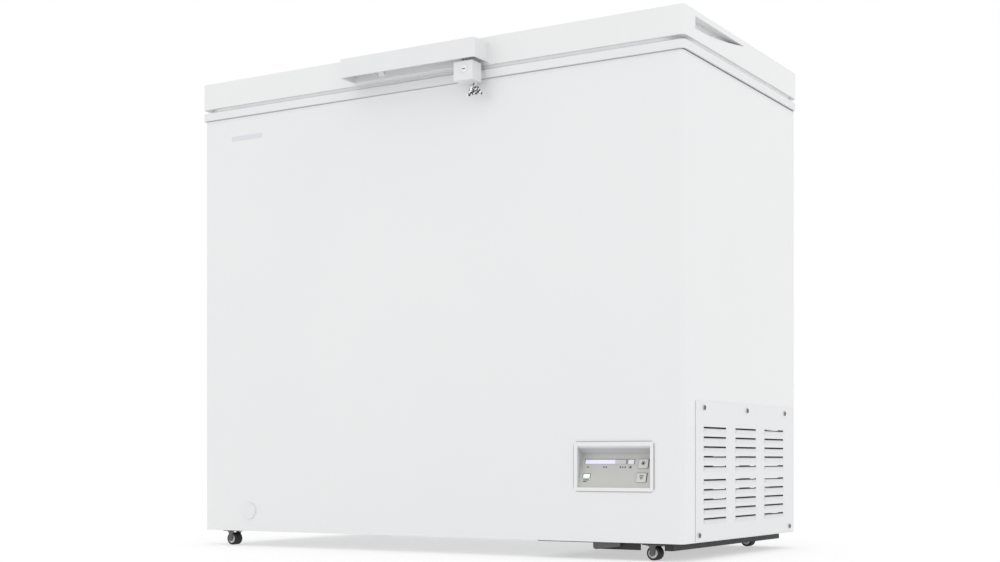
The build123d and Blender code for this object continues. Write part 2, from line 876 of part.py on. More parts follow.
def compressor():
    """Welded can with its foot plate."""
    base = tray_top + rubber_foot_height
    z = base + 4
    can = extrude(Pos(compressor_x, compressor_y, z) * Circle(compressor_radius),
                  compressor_height)
    can = fillet(can.faces().sort_by(Axis.Z)[-1].edges(), compressor_radius * 0.6)
    can = fillet(can.faces().sort_by(Axis.Z)[0].edges(), compressor_radius * 0.3)
    reach = compressor_radius * 0.9 + 14
    plate = rounded(compressor_x - reach, compressor_x + reach, compressor_y - reach,
                    compressor_y + reach, base, base + 4.5, 12)
    bolts = [rod((x, y, 0), (x, y, base + 20), 3) for x, y in foot_places()]
    return less(can + plate, bolts)


def compressor_feet():
    """Rubber mounts between the tray and the foot plate."""
    base = tray_top
    return [rod((x, y, base), (x, y, base + rubber_foot_height), 11)
            - rod((x, y, base - 1), (x, y, base + rubber_foot_height + 1), 3)
            for x, y in foot_places()]


def compressor_bolts():
    """Bolts up through tray, rubber and foot plate."""
    top = tray_top + rubber_foot_height + 4.5
    low = tray_top - tray_sheet
    return [rod((x, y, low), (x, y, top + 6), 3) + rod((x, y, low - 2.5), (x, y, low), 5)
            + rod((x, y, top), (x, y, top + 4), 6) for x, y in foot_places()]


def terminal_cover():
    """Moulded box over the compressor's terminals."""
    x = compressor_x
    y1 = compressor_y - compressor_radius + 2
    z = tray_top + rubber_foot_height + 60
    box = block(x - 28, x + 28, y1 - 34, y1 + 10, z, z + 62)
    can = rod((x, compressor_y, z - 5), (x, compressor_y, z + 70), compressor_radius)
    return fillet((box - can).edges().filter_by(Axis.Y), 3)


def pipe_points():
    """Suction line from the foam through the partition to the can."""
    start = (bay_left - 8, compressor_y, suction_z)
    corner = (bay_left + 30, compressor_y, suction_z)
    return [start, corner, (bay_left + 30, compressor_y, suction_z - 60),
            (compressor_x - compressor_radius + 1, compressor_y, suction_z - 60)]


def suction_pipe():
    can = rod((compressor_x, compressor_y, 0), (compressor_x, compressor_y, 300),
              compressor_radius)
    return tube(pipe_points(), 12, pipe_radius) - can


def discharge_pipe():
    """Line from the can up and back to the drier."""
    x = compressor_x + compressor_radius + 20
    y = compressor_y + 30
    z = suction_z - 70
    points = [(compressor_x + compressor_radius - 10, y, z), (x, y, z), (x, y, drier_z),
              (x, drier_y, drier_z)]
    can = rod((compressor_x, compressor_y, 0), (compressor_x, compressor_y, 300),
              compressor_radius)
    return tube(points, 9, 3) - can


def filter_drier():
    """Copper capsule at the end of the discharge line."""
    x = compressor_x + compressor_radius + 20
    body = rod((x, drier_y, drier_z), (x, drier_y + 70, drier_z), 9)
    return fillet(body.edges().filter_by(GeomType.CIRCLE), 5)


def side_grille():
    """Vented panel on the right side, with hooded slots in columns."""
    y0, y1, z0, z1 = grille_span(0)
    outside = half_body + grille_proud
    face = block(half_body, outside, y0, y1, z0, z1)
    a0, a1, b0, b1 = grille_span(grille_overlap + part_gap)
    panel = face + block(outside - grille_thickness, half_body, a0, a1, b0, b1)
    hood_y = lid_front + louvre_start
    for column in range(louvre_columns):
        y = hood_y + column * louvre_column_pitch
        for z in louvre_levels():
            panel = panel - block(outside - 5, outside + 5, y, y + louvre_length,
                                  z, z + louvre_slot)
            panel = panel + louvre_hood(y, z, outside)
    return less(panel, grille_screws())


def louvre_levels():
    """Heights of the slots: two groups with a plain band between."""
    low = body_bottom + louvre_low
    high = low + louvre_rows * louvre_pitch + louvre_band
    return [start + row * louvre_pitch for start in (low, high) for row in range(louvre_rows)]


def louvre_hood(y, z, outside):
    """Sloping blade along the lower edge of a slot."""
    corners = [(outside - 0.5, z - louvre_slot), (outside + louvre_proud, z),
               (outside - grille_thickness, z + louvre_slot - 1), (outside - grille_thickness, z - 1)]
    side = Plane((0, y, 0), x_dir=(1, 0, 0), z_dir=(0, -1, 0))
    return extrude(side * make_face(Polyline(*corners, close=True)), -louvre_length)


def rear_cover():
    """Slotted cover over the bay's opening in the back."""
    x0 = bay_left + 4
    x1 = half_body - 4
    z0 = body_bottom + 6
    cover = block(x0, x1, body_rear, body_rear + rear_cover_sheet, z0, bay_top - 4)
    slots = []
    for column in range(3):
        for row in range(8):
            x = x0 + 24 + column * 72
            z = z0 + 26 + row * 20
            if column or row > 2:
                slots.append(block(x, x + 52, body_rear - 1, body_rear + 5, z, z + 6))
    gland = rod((gland_x, body_rear - 5, gland_z), (gland_x, body_rear + 9, gland_z), 8)
    return less(cover, slots + [gland] + rear_cover_screws())


def cord_gland():
    """Strain relief bush in the rear cover."""
    y0 = body_rear - 6
    y1 = body_rear + rear_cover_sheet
    bush = rod((gland_x, y0, gland_z), (gland_x, y1 + 7, gland_z), 8)
    flange = rod((gland_x, y1, gland_z), (gland_x, y1 + 2, gland_z), 11)
    return bush + flange - rod((gland_x, y0 - 1, gland_z), (gland_x, y1 + 9, gland_z), 3.5)


# Drain

def drain_points():
    return [(drain_x, drain_y, cavity_floor - liner_sheet), (drain_x, drain_y, drain_z),
            (drain_x, body_front, drain_z)]


def drain_envelope():
    return tube(drain_points(), drain_tube_radius * 1.5, drain_tube_radius)


def drain_tube():
    """Elbow from the tub's floor to the front."""
    return drain_envelope() - tube(drain_points(), drain_tube_radius * 1.5, drain_bore)


def drain_cap():
    """Round cap on the front with a spigot in the tube."""
    face = body_front
    disc = rod((drain_x, face - 3, drain_z), (drain_x, face, drain_z), drain_cap_radius)
    disc = fillet(disc.faces().sort_by(Axis.Y)[0].edges(), 1.2)
    spigot = rod((drain_x, face, drain_z), (drain_x, face + 14, drain_z), drain_bore - part_gap)
    return disc + spigot


def floor_plug():
    """Stopper in the tub's floor."""
    z = cavity_floor
    disc = rod((drain_x, drain_y, z), (drain_x, drain_y, z + 4), 13)
    disc = fillet(disc.faces().sort_by(Axis.Z)[-1].edges(), 1.5)
    spigot = rod((drain_x, drain_y, z - 10), (drain_x, drain_y, z), drain_bore - part_gap)
    return disc + spigot


# Hinges

def hinge_brackets():
    """Plate and spring box on the back, with two arms up to each pin."""
    top = body_top - 3
    plate = block(-32, 32, body_rear, body_rear + hinge_plate, top - 72, top)
    y1 = pivot_y + hinge_barrel_radius
    arm_radius = hinge_barrel_radius - hinge_arm_relief
    box = block(-hinge_half(), hinge_half(), body_rear, y1 - 1, top - 62, top - 12)
    room = rod((0, pivot_y - 2, top - 58), (0, pivot_y - 2, top - 14), spring_radius + 1)
    bracket = plate + box - room
    for side in (-1, 1):
        x0 = side * (hinge_knuckle / 2 + hinge_gap)
        x1 = side * hinge_half()
        low, high = min(x0, x1), max(x0, x1)
        bracket = bracket + rod((low, pivot_y, pivot_z), (high, pivot_y, pivot_z), arm_radius)
        bracket = bracket + block(low, high, pivot_y - arm_radius, pivot_y + arm_radius,
                                  top - 20, pivot_z)
    bore = rod((-50, pivot_y, pivot_z), (50, pivot_y, pivot_z), hinge_pin_radius)
    pair = [Pos(side * hinge_x, 0, 0) * (bracket - bore) for side in (-1, 1)]
    return [less(one, hinge_base_screws()) for one in pair]


def hinge_half():
    return hinge_knuckle / 2 + hinge_gap + hinge_arm


def hinge_pins():
    """Pin through both arms, riveted at its ends."""
    half = hinge_half()
    pins = []
    for side in (-1, 1):
        x = side * hinge_x
        pin = rod((x - half, pivot_y, pivot_z), (x + half, pivot_y, pivot_z), hinge_pin_radius)
        for end in (-1, 1):
            outer = x + end * half
            pin = pin + rod((outer, pivot_y, pivot_z), (outer + end * 1.6, pivot_y, pivot_z),
                            hinge_pin_radius + 1.5)
        pins.append(pin)
    return pins


def hinge_springs():
    """Coil spring in each spring box."""
    top = body_top - 3 - 16
    height = 40.0
    coils = []
    for side in (-1, 1):
        path = Helix(pitch=height / 8, height=height, radius=spring_radius - 1)
        wire = sweep(Plane(path @ 0, z_dir=path % 0) * Circle(0.9), path=path)
        coils.append(Pos(side * hinge_x, pivot_y - 2, top - height) * wire)
    return coils


def hinge_leaves():
    """Plate on the back of the lid with the middle knuckle of each hinge."""
    half = hinge_knuckle / 2
    plate = block(-half, half, lid_rear, lid_rear + leaf_sheet, pivot_z, total_height - 6)
    knuckle = rod((-half, pivot_y, pivot_z), (half, pivot_y, pivot_z), hinge_barrel_radius)
    fill = block(-half, half, lid_rear, pivot_y, pivot_z, pivot_z + hinge_pin_radius)
    below = block(-half - 1, half + 1, lid_rear - 5, lid_rear + part_gap, 0, lid_bottom)
    leaf = plate + knuckle + fill - below
    leaf = leaf - rod((-half - 1, pivot_y, pivot_z), (half + 1, pivot_y, pivot_z),
                      hinge_pin_radius + running_gap)
    pair = [Pos(side * hinge_x, 0, 0) * leaf for side in (-1, 1)]
    return [less(one, leaf_screws()) for one in pair]


# Castors

def castor_places():
    front = lid_front + castor_setback
    rear = body_rear - castor_rear_gap
    return {
        "front_left": (-castor_front_x, front),
        "front_right": (castor_front_x, front),
        "rear_left": (-castor_rear_x, rear),
        "rear_right": (castor_rear_x, rear),
    }


def castor_bracket(x, y):
    """Plate under the cabinet with a narrow strap on each side of the wheel."""
    top = tray_top if x < 0 else tray_top - tray_sheet
    half = wheel_width / 2 + castor_play
    out = half + castor_sheet
    plate_half = castor_plate_length / 2
    plate = block(x - plate_half, x + plate_half, y - out, y + out, top - castor_sheet, top)
    wide = castor_strap_half
    corners = [(-wide - 3, top - castor_sheet), (wide + 3, top - castor_sheet),
               (wide, top - castor_sheet - 3), (wide, axle_z), (-wide, axle_z),
               (-wide, top - castor_sheet - 3)]
    for side in (-1, 1):
        face = Plane((x, y + side * half, 0), x_dir=(1, 0, 0), z_dir=(0, -1, 0))
        cheek = extrude(face * make_face(Polyline(*corners, close=True)), -side * castor_sheet)
        plate = plate + cheek + rod((x, y + side * half, axle_z), (x, y + side * out, axle_z), wide)
    return plate - rod((x, y - 30, axle_z), (x, y + 30, axle_z), axle_radius)


def castor_brackets():
    return [castor_bracket(x, y) for x, y in castor_places().values()]


def castor_axles():
    half = wheel_width / 2 + castor_play + castor_sheet
    axles = []
    for x, y in castor_places().values():
        pin = rod((x, y - half, axle_z), (x, y + half, axle_z), axle_radius)
        for side in (-1, 1):
            pin = pin + rod((x, y + side * half, axle_z), (x, y + side * (half + 1.2), axle_z),
                            axle_radius + 1.2)
        axles.append(pin)
    return axles


def wheel(x, y):
    """One-piece tread and hub, running on the axle."""
    half = wheel_width / 2
    disc = rod((x, y - half, axle_z), (x, y + half, axle_z), wheel_radius)
    disc = fillet(disc.edges().filter_by(GeomType.CIRCLE), 1.2)
    for side in (-1, 1):
        dish = rod((x, y + side * half, axle_z), (x, y + side * (half - 1.2), axle_z), 8.4)
        disc = disc - dish
    return disc - rod((x, y - 30, axle_z), (x, y + 30, axle_z), axle_radius + running_gap)


# Basket

def basket_limits():
    x1 = cavity_half - basket_end_gap
    return x1 - basket_length, x1


def basket():
    """Wire basket whose front and back rails lie on the collar's ledge."""
    x0, x1 = basket_limits()
    y0 = cavity_front - ledge_width / 2 - 1
    y1 = cavity_rear + ledge_width / 2 + 1
    rail_z = ledge_z + basket_rail + 0.1
    plan = Pos((x0 + x1) / 2, (y0 + y1) / 2, rail_z) * RectangleRounded(x1 - x0, y1 - y0, 9)
    path = plan.wire()
    frame = sweep(Plane(path @ 0, z_dir=path % 0) * Circle(basket_rail), path=path)
    wall0 = cavity_front + basket_wall_gap
    wall1 = cavity_rear - basket_wall_gap
    low = rail_z - basket_height
    for index in range(basket_hoops):
        x = x0 + 20 + index * (basket_length - 40) / (basket_hoops - 1)
        points = [(x, y0, rail_z), (x, wall0, rail_z), (x, wall0, low), (x, wall1, low),
                  (x, wall1, rail_z), (x, y1, rail_z)]
        frame = frame + tube(points, 5, basket_wire)
    over = 2 * basket_wire - basket_weld
    for index in range(basket_long_wires):
        y = wall0 + 26 + index * (wall1 - wall0 - 52) / (basket_long_wires - 1)
        points = [(x0, y, rail_z), (x0, y, low + over), (x1, y, low + over), (x1, y, rail_z)]
        frame = frame + tube(points, 12, basket_wire)
    return frame


def basket_grips():
    """Plastic sleeve on each end rail."""
    y = (cavity_front + cavity_rear) / 2
    z = ledge_z + basket_rail + 0.1
    sleeves = []
    for x in basket_limits():
        sleeve = rod((x, y - 22, z), (x, y + 22, z), basket_rail + 1.6)
        sleeves.append(sleeve - rod((x, y - 30, z), (x, y + 30, z), basket_rail))
    return sleeves


def export(name, shape):
    """Write one sub-part; a list becomes a group of separate solids."""
    if isinstance(shape, list):
        shape = Compound(shape)
    export_step(shape, f"parts/{name}.step")


os.makedirs("parts", exist_ok=True)
export("outer_shell", outer_shell())
export("rear_panel", rear_panel())
export("bottom_panel", bottom_panel())
export("bay_partition", bay_partition())
export("inner_liner", inner_liner())
export("cabinet_foam", cabinet_foam())
export("rim_collar", rim_collar())
export("evaporator_coil", evaporator_coil())
export("condenser_coil", condenser_coil())
export("lid_shell", lid_shell())
export("lid_foam", lid_foam())
export("lid_liner", lid_liner())
export("lid_gasket", lid_gasket())
export("side_grips", side_grips())
export("handle", handle())
export("striker", striker())
export("lid_screws", handle_screws() + striker_screw() + leaf_screws())
export("lock_housing", lock_housing())
export("lock_base", lock_base())
export("lock_ring", lock_ring())
export("lock_barrel", lock_barrel())
export("lock_cam", lock_cam())
export("key_ring", key_ring())
export("key_pair", key_pair())
export("control_bezel", control_bezel())
export("control_fascia", control_fascia())
export("bar_lens", bar_lens())
export("boost_lamp", boost_lamp())
export("running_lamp", running_lamp())
export("upper_button", button(button_drops[0]))
export("lower_button", button(button_drops[1]))
export("control_board", control_board())
export("compressor_tray", compressor_tray())
export("tray_bracket", tray_bracket())
export("compressor", compressor())
export("compressor_feet", compressor_feet())
export("compressor_bolts", compressor_bolts())
export("terminal_cover", terminal_cover())
export("suction_pipe", suction_pipe())
export("discharge_pipe", discharge_pipe())
export("filter_drier", filter_drier())
export("side_grille", side_grille())
export("rear_cover", rear_cover())
export("cord_gland", cord_gland())
export("cabinet_screws", grille_screws() + rear_cover_screws() + hinge_base_screws()
       + lock_screws())
export("drain_tube", drain_tube())
export("drain_cap", drain_cap())
export("floor_plug", floor_plug())
export("hinge_brackets", hinge_brackets())
export("hinge_pins", hinge_pins())
export("hinge_springs", hinge_springs())
export("hinge_leaves", hinge_leaves())
export("castor_brackets", castor_brackets())
export("castor_axles", castor_axles())
for place, centre in castor_places().items():
    export(f"wheel_{place}", wheel(*centre))
export("basket", basket())
export("basket_grips", basket_grips())
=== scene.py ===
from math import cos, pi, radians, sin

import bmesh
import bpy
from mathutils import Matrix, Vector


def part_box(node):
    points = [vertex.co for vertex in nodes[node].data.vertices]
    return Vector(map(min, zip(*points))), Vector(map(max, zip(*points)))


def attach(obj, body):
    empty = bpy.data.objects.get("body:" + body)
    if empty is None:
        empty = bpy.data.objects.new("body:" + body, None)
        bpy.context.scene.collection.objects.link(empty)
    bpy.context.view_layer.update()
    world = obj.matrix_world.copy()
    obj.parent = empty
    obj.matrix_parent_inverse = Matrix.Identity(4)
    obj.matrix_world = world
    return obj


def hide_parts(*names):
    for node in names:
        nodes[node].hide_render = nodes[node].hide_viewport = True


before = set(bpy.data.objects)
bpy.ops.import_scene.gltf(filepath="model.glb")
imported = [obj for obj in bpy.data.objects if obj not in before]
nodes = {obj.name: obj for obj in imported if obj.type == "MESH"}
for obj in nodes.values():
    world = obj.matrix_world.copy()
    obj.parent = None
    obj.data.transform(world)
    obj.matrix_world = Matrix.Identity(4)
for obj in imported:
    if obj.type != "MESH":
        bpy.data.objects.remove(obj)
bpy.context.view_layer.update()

# %% [markdown]
# # A chest freezer, made ready to be looked at
# The frame just loaded holds the freezer's real shapes at their real size. This lesson gives every
# one of them a finish, and adds the small things that a maker would fit last: tyres, seal, marks.

# %% [markdown]
# ## Where we stand
# The camera is level, a hand's width above the floor, well to the right of the front. A level
# camera keeps every upright edge parallel; the lens is shifted upward so that the tall cabinet
# still fills the frame, which is how product pictures of large appliances are usually taken.

# %% Camera
MM = 0.001
eye = Vector((1378.2 * MM, -2250.1 * MM, 149.7 * MM))
look_left = radians(31.139)
camera_data = bpy.data.cameras.new("view")
camera_data.sensor_width = 36.0
camera_data.lens = 53.73
camera_data.shift_y = 0.180
camera = bpy.data.objects.new("view", camera_data)
camera.matrix_world = (Matrix.Translation(eye) @ Matrix.Rotation(look_left, 4, "Z")
                       @ Matrix.Rotation(radians(90), 4, "X"))
bpy.context.scene.collection.objects.link(camera)
bpy.context.scene.camera = camera
bpy.context.scene.view_settings.view_transform = "Standard"
print("camera", [round(v, 3) for v in eye], "lens", camera_data.lens)

# %% [markdown]
# ## Floor and light
# White enamel shows its form only through small differences of grey. A bright, even surrounding
# gives the pale base tone. Three wide, faint area lights then make the front a shade darker than
# the side. The plain view transform keeps the white surround white.

# %% Floor and lights
FLOOR_SIZE = 14.0
WORLD_GREY = 1.0


def studio_floor():
    """A wide pale sheet just under the wheels."""
    bm = bmesh.new()
    bmesh.ops.create_grid(bm, x_segments=1, y_segments=1, size=FLOOR_SIZE / 2)
    bmesh.ops.translate(bm, verts=bm.verts, vec=(0, 0, -0.0005))
    mesh = bpy.data.meshes.new("studio_floor")
    bm.to_mesh(mesh)
    bm.free()
    floor = bpy.data.objects.new("studio_floor", mesh)
    bpy.context.scene.collection.objects.link(floor)
    return floor


def area_light(name, place, aim, size, power):
    """A soft square light at a place, aimed at a point."""
    data = bpy.data.lights.new(name, "AREA")
    data.shape = "SQUARE"
    data.size = size
    data.energy = power
    light = bpy.data.objects.new(name, data)
    way = Vector(aim) - Vector(place)
    turn = way.to_track_quat("-Z", "Y").to_matrix().to_4x4()
    light.matrix_world = Matrix.Translation(place) @ turn
    bpy.context.scene.collection.objects.link(light)


floor = studio_floor()
world = bpy.data.worlds.new("studio")
world.use_nodes = True
world.node_tree.nodes["Background"].inputs["Color"].default_value = (1, 1, 1, 1)
world.node_tree.nodes["Background"].inputs["Strength"].default_value = WORLD_GREY
bpy.context.scene.world = world
area_light("key", (2.6, -1.4, 2.6), (0.3, 0, 0.5), 2.2, 5)
area_light("fill", (-2.4, -2.8, 1.6), (0, 0, 0.4), 2.6, 2)
area_light("low", (1.6, -2.2, 0.25), (0.4, 0, 0.2), 1.2, 0.5)
print("lights set")

# %% [markdown]
# ## A small language for finishes
# A finish is a little graph of nodes. Writing the graph as sums and products is easier to read, so
# `Signal` wraps one socket and turns + - * into Math nodes, and `Finish` holds one material. All
# patterns read Object coordinates, in metres, so they stay put when a piece moves.

# %% Signals and finishes
class Signal:
    """One socket that adds Math nodes when it is used in a sum."""

    def __init__(self, finish, socket):
        self.finish = finish
        self.socket = socket

    def math(self, operation, *values):
        return self.finish.node("ShaderNodeMath", {"operation": operation}, *values)

    def __add__(self, other):
        return self.math("ADD", self, other)

    def __sub__(self, other):
        return self.math("SUBTRACT", self, other)

    def __rsub__(self, other):
        return self.math("SUBTRACT", other, self)

    def __mul__(self, other):
        return self.math("MULTIPLY", self, other)

    __radd__ = __add__
    __rmul__ = __mul__

    def between(self, low, high):
        """0 below low, 1 above high, a straight ramp in between."""
        return self.finish.node("ShaderNodeMapRange", {}, self, low, high, 0.0, 1.0)


class Finish:
    """One procedural material on the Principled shader."""

    def __init__(self, name, color, roughness, metallic=0.0, **sockets):
        self.material = bpy.data.materials.new(name)
        self.material.use_nodes = True
        self.tree = self.material.node_tree
        self.shader = self.tree.nodes["Principled BSDF"]
        self.place = self.node("ShaderNodeTexCoord", {}, output="Object")
        self.put("Base Color", (*color, 1.0))
        self.put("Roughness", roughness)
        self.put("Metallic", metallic)
        for label, value in sockets.items():
            self.put(label.replace("_", " "), value)
        self.material.diffuse_color = (*color, 1.0)

    def node(self, kind, settings, *inputs, output=0):
        """Add a node, set it up, feed its sockets in order, and give back one output."""
        node = self.tree.nodes.new(kind)
        for key, value in settings.items():
            setattr(node, key, value)
        for socket, value in zip(node.inputs, inputs):
            self.feed(socket, value)
        return Signal(self, node.outputs[output])

    def feed(self, socket, value):
        if isinstance(value, Signal):
            self.tree.links.new(value.socket, socket)
        elif value is not None:
            socket.default_value = value

    def put(self, label, value):
        """Set or link one socket of the shader."""
        self.feed(self.shader.inputs[label], value)

    def noise(self, size, detail=3.0, rough=0.5, place=None):
        """Soft noise from 0 to 1 whose lumps are about size metres across."""
        kind = {"noise_dimensions": "3D"}
        return self.node("ShaderNodeTexNoise", kind, place or self.place, None, 1 / size, detail,
                         rough)

    def cells(self, size, output="Distance"):
        """Distance to the nearest of scattered points, about size metres apart."""
        return self.node("ShaderNodeTexVoronoi", {}, self.place, None, 1 / size, output=output)

    def stretched(self, scale):
        """Object coordinates scaled along each axis."""
        return self.node("ShaderNodeMapping", {}, self.place, (0, 0, 0), (0, 0, 0), scale)

    def axis(self, letter):
        """One of the three Object coordinates as a number."""
        return self.node("ShaderNodeSeparateXYZ", {}, self.place, output=letter)

    def blend(self, mask, first, second):
        """Mix two colours by a mask."""
        node = self.tree.nodes.new("ShaderNodeMix")
        node.data_type = "RGBA"
        for index, value in ((0, mask), (6, first), (7, second)):
            self.feed(node.inputs[index], value if isinstance(value, Signal) or index == 0
                      else (*value, 1.0))
        return Signal(self, node.outputs[2])

    def bump(self, height, distance, strength=1.0):
        """Raise the surface by height times distance metres."""
        bump = self.tree.nodes.new("ShaderNodeBump")
        bump.inputs["Strength"].default_value = strength
        bump.inputs["Distance"].default_value = distance
        self.feed(bump.inputs["Height"], height)
        self.put("Normal", Signal(self, bump.outputs["Normal"]))

    def wear(self, color, other, size, spread):
        """Colour that drifts slightly between two tones."""
        mask = self.noise(size, 4.0).between(0.5 - spread, 0.5 + spread)
        self.put("Base Color", self.blend(mask, color, other))


print("finish language ready")

# %% [markdown]
# ## Paper for the floor
# Studio paper is matt, and never quite even. A little light of its own stands in for the lamps that
# shine on it from every side, so that the dark under the cabinet doesn't turn black.

# %% Studio paper
PAPER_GLOW = 0.52


def studio_paper():
    """Matt paper with a little light of its own, so that shadows on it stay soft."""
    finish = Finish("studio_paper", (0.46, 0.46, 0.46), 0.9)
    finish.put("Base Color", finish.blend(finish.noise(0.35), (0.44, 0.44, 0.44),
                                          (0.48, 0.48, 0.48)))
    finish.put("Emission Color", (1.0, 1.0, 1.0, 1.0))
    finish.put("Emission Strength", PAPER_GLOW)
    return finish


floor.data.materials.append(studio_paper().material)
print("paper on the floor")

# %% [markdown]
# ## White enamel on sheet steel
# The cabinet and lid are steel, sprayed and baked. From close by the gloss has the faint ripple
# that painters call orange peel, about a millimetre across, and large panels are never one tone.

# %% White sheet finishes
def enamel(name, color, shade):
    finish = Finish(name, color, 0.3, Coat_Weight=0.2, Coat_Roughness=0.22)
    finish.wear(color, shade, 0.35, 0.25)
    finish.put("Roughness", 0.26 + finish.noise(0.08) * 0.1)
    peel = finish.noise(0.0016, 2.0)
    sag = finish.noise(0.03, 1.0)
    finish.bump(peel + sag * 3, 0.00002, 0.2)
    return finish


white_sheet = enamel("white_enamel", (0.80, 0.805, 0.81), (0.785, 0.79, 0.80))
lid_sheet = enamel("white_lid_enamel", (0.805, 0.81, 0.812), (0.79, 0.795, 0.80))

# %% [markdown]
# ## Moulded plastic
# Collar, handle, lock and panel are moulded. Their tool is spark-eroded, which leaves a fine grain
# that is duller than enamel. One function makes every colour of it.

# %% Moulded plastic
def moulded(name, color, shade, roughness=0.34):
    finish = Finish(name, color, roughness)
    finish.wear(color, shade, 0.05, 0.3)
    finish.put("Roughness", roughness + finish.noise(0.012) * 0.08)
    finish.bump(finish.noise(0.0006, 2.0), 0.00002, 0.6)
    return finish


white_moulded = moulded("white_moulding", (0.79, 0.795, 0.80), (0.76, 0.765, 0.775))
lock_moulded = moulded("lock_moulding", (0.77, 0.775, 0.78), (0.74, 0.745, 0.755), 0.4)
fascia_grey = moulded("fascia_moulding", (0.545, 0.55, 0.52), (0.51, 0.515, 0.49), 0.5)
hub_grey = moulded("hub_moulding", (0.80, 0.80, 0.81), (0.70, 0.70, 0.72), 0.35)
basket_white = moulded("dipped_wire", (0.80, 0.81, 0.82), (0.72, 0.73, 0.75), 0.3)
grip_blue = moulded("basket_grip_moulding", (0.12, 0.22, 0.38), (0.09, 0.17, 0.30), 0.35)
black_moulded = moulded("black_moulding", (0.02, 0.02, 0.021), (0.035, 0.035, 0.037), 0.45)


# %% [markdown]
# ## Outlines, painted gap shade and painted slot shadow
# Buttons and lamps carry a thin dark line. The panel's frame meets the sheet in a fine gap; its shade
# is painted as a grey line at the frame's edge, and the frame's recess is painted greyer deeper in.
# The slots of the vent are painted near-black inside, as painted shadow. All of these follow from how
# far a point lies from the edge of its own piece, so a mask from Object coordinates is enough.

# %% Outlines, painted gap shade and painted slot shadow
def border(finish, low, high, width):
    """1 in a thin line round a box as seen from the front, 0 inside it."""
    x = finish.axis("X")
    z = finish.axis("Z")
    inside_x = x.between(low[0] + width * 0.7, low[0] + width) * (1 - x.between(
        high[0] - width, high[0] - width * 0.7))
    inside_z = z.between(low[2] + width * 0.7, low[2] + width) * (1 - z.between(
        high[2] - width, high[2] - width * 0.7))
    return 1 - inside_x * inside_z


def outlined_button(node):
    """Button moulding with a thin dark line printed just inside its edge."""
    finish = moulded(f"{node}_moulding", (0.62, 0.61, 0.60), (0.58, 0.57, 0.56), 0.45)
    line = border(finish, *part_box(node), 1.5 * MM) * (1 - border(finish, *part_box(node), 0.5 * MM))
    finish.put("Base Color", finish.blend(line, (0.62, 0.61, 0.60), (0.15, 0.15, 0.16)))
    return finish


def bezel_painted_shade():
    """White moulding with painted shade: a grey edge line for the gap, greyer deeper in."""
    finish = moulded("bezel_moulding_painted_shade", (0.79, 0.795, 0.80), (0.77, 0.775, 0.785))
    # painted shade: a grey line along the outer edge stands for the shade in the gap to the sheet
    line = border(finish, *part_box("control_bezel"), 1.3 * MM)
    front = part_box("control_bezel")[0][1]
    # painted shade: deeper in the recess the colour turns greyer, standing in for the shade there
    deep = finish.axis("Y").between(front + 2 * MM, front + 7 * MM)
    tone = finish.blend(deep, (0.79, 0.795, 0.80), (0.50, 0.50, 0.51))
    finish.put("Base Color", finish.blend(line * (1 - deep), tone, (0.36, 0.36, 0.37)))
    return finish


VENT_FACE = 2.9 * MM


def vent_panel_painted_shadow():
    """White moulding painted near-black below its outer face, as painted shadow inside the slots."""
    finish = moulded("vent_moulding_painted_shadow", (0.775, 0.78, 0.79), (0.755, 0.76, 0.775))
    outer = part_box("side_grille")[1][0]
    depth = outer - finish.axis("X")
    # painted shadow: every point deeper than the outer face is painted near-black
    shade = depth.between(VENT_FACE, VENT_FACE + 0.5 * MM)
    finish.put("Base Color", finish.blend(shade, (0.775, 0.78, 0.79), (0.03, 0.03, 0.035)))
    return finish


# %% [markdown]
# ## Liner, rubber, metals and foam
# The tub is embossed sheet with a pebbled skin, zinc plate shows its crystals, copper tarnishes and
# foam has pores. Each is one pattern at its real scale, used for colour, roughness and bump.

# %% Liner, rubber, metals and foam
def stucco_liner():
    finish = Finish("stucco_liner", (0.78, 0.79, 0.80), 0.35, Coat_Weight=0.2)
    pebble = finish.cells(0.006).between(0.1, 0.7)
    finish.put("Base Color", finish.blend(pebble, (0.80, 0.81, 0.82), (0.72, 0.73, 0.75)))
    finish.bump(1 - pebble, 0.0004, 0.8)
    return finish


def seal_rubber():
    finish = Finish("seal_rubber", (0.72, 0.73, 0.74), 0.6)
    finish.wear((0.72, 0.73, 0.74), (0.66, 0.67, 0.68), 0.02, 0.3)
    finish.put("Roughness", 0.5 + finish.noise(0.004) * 0.25)
    finish.bump(finish.noise(0.0005), 0.00004, 0.7)
    return finish


def bright_chrome():
    finish = Finish("bright_chrome", (0.80, 0.80, 0.82), 0.08, 1.0)
    smear = finish.noise(0.006, 4.0)
    finish.put("Roughness", 0.05 + smear * 0.16)
    finish.put("Base Color", finish.blend(smear, (0.84, 0.84, 0.86), (0.70, 0.70, 0.73)))
    scratch = finish.noise(0.0004, 2.0, place=finish.stretched((1, 1, 12)))
    finish.bump(scratch, 0.00001, 0.5)
    return finish


def key_metal():
    """Bright plating with near-black patches painted in as reflections; the patches are rougher."""
    finish = Finish("key_plating_painted_reflections", (0.6, 0.6, 0.62), 0.15, 1.0)
    # painted reflections: near-black patches stand for dark surroundings mirrored in the plating
    painted_reflection_patches = finish.noise(0.0035, 3.0).between(0.46, 0.54)
    finish.put("Base Color", finish.blend(painted_reflection_patches, (0.86, 0.86, 0.88), (0.05, 0.05, 0.055)))
    finish.put("Roughness", 0.1 + painted_reflection_patches * 0.2)
    finish.bump(finish.noise(0.0006), 0.00002, 0.5)
    return finish


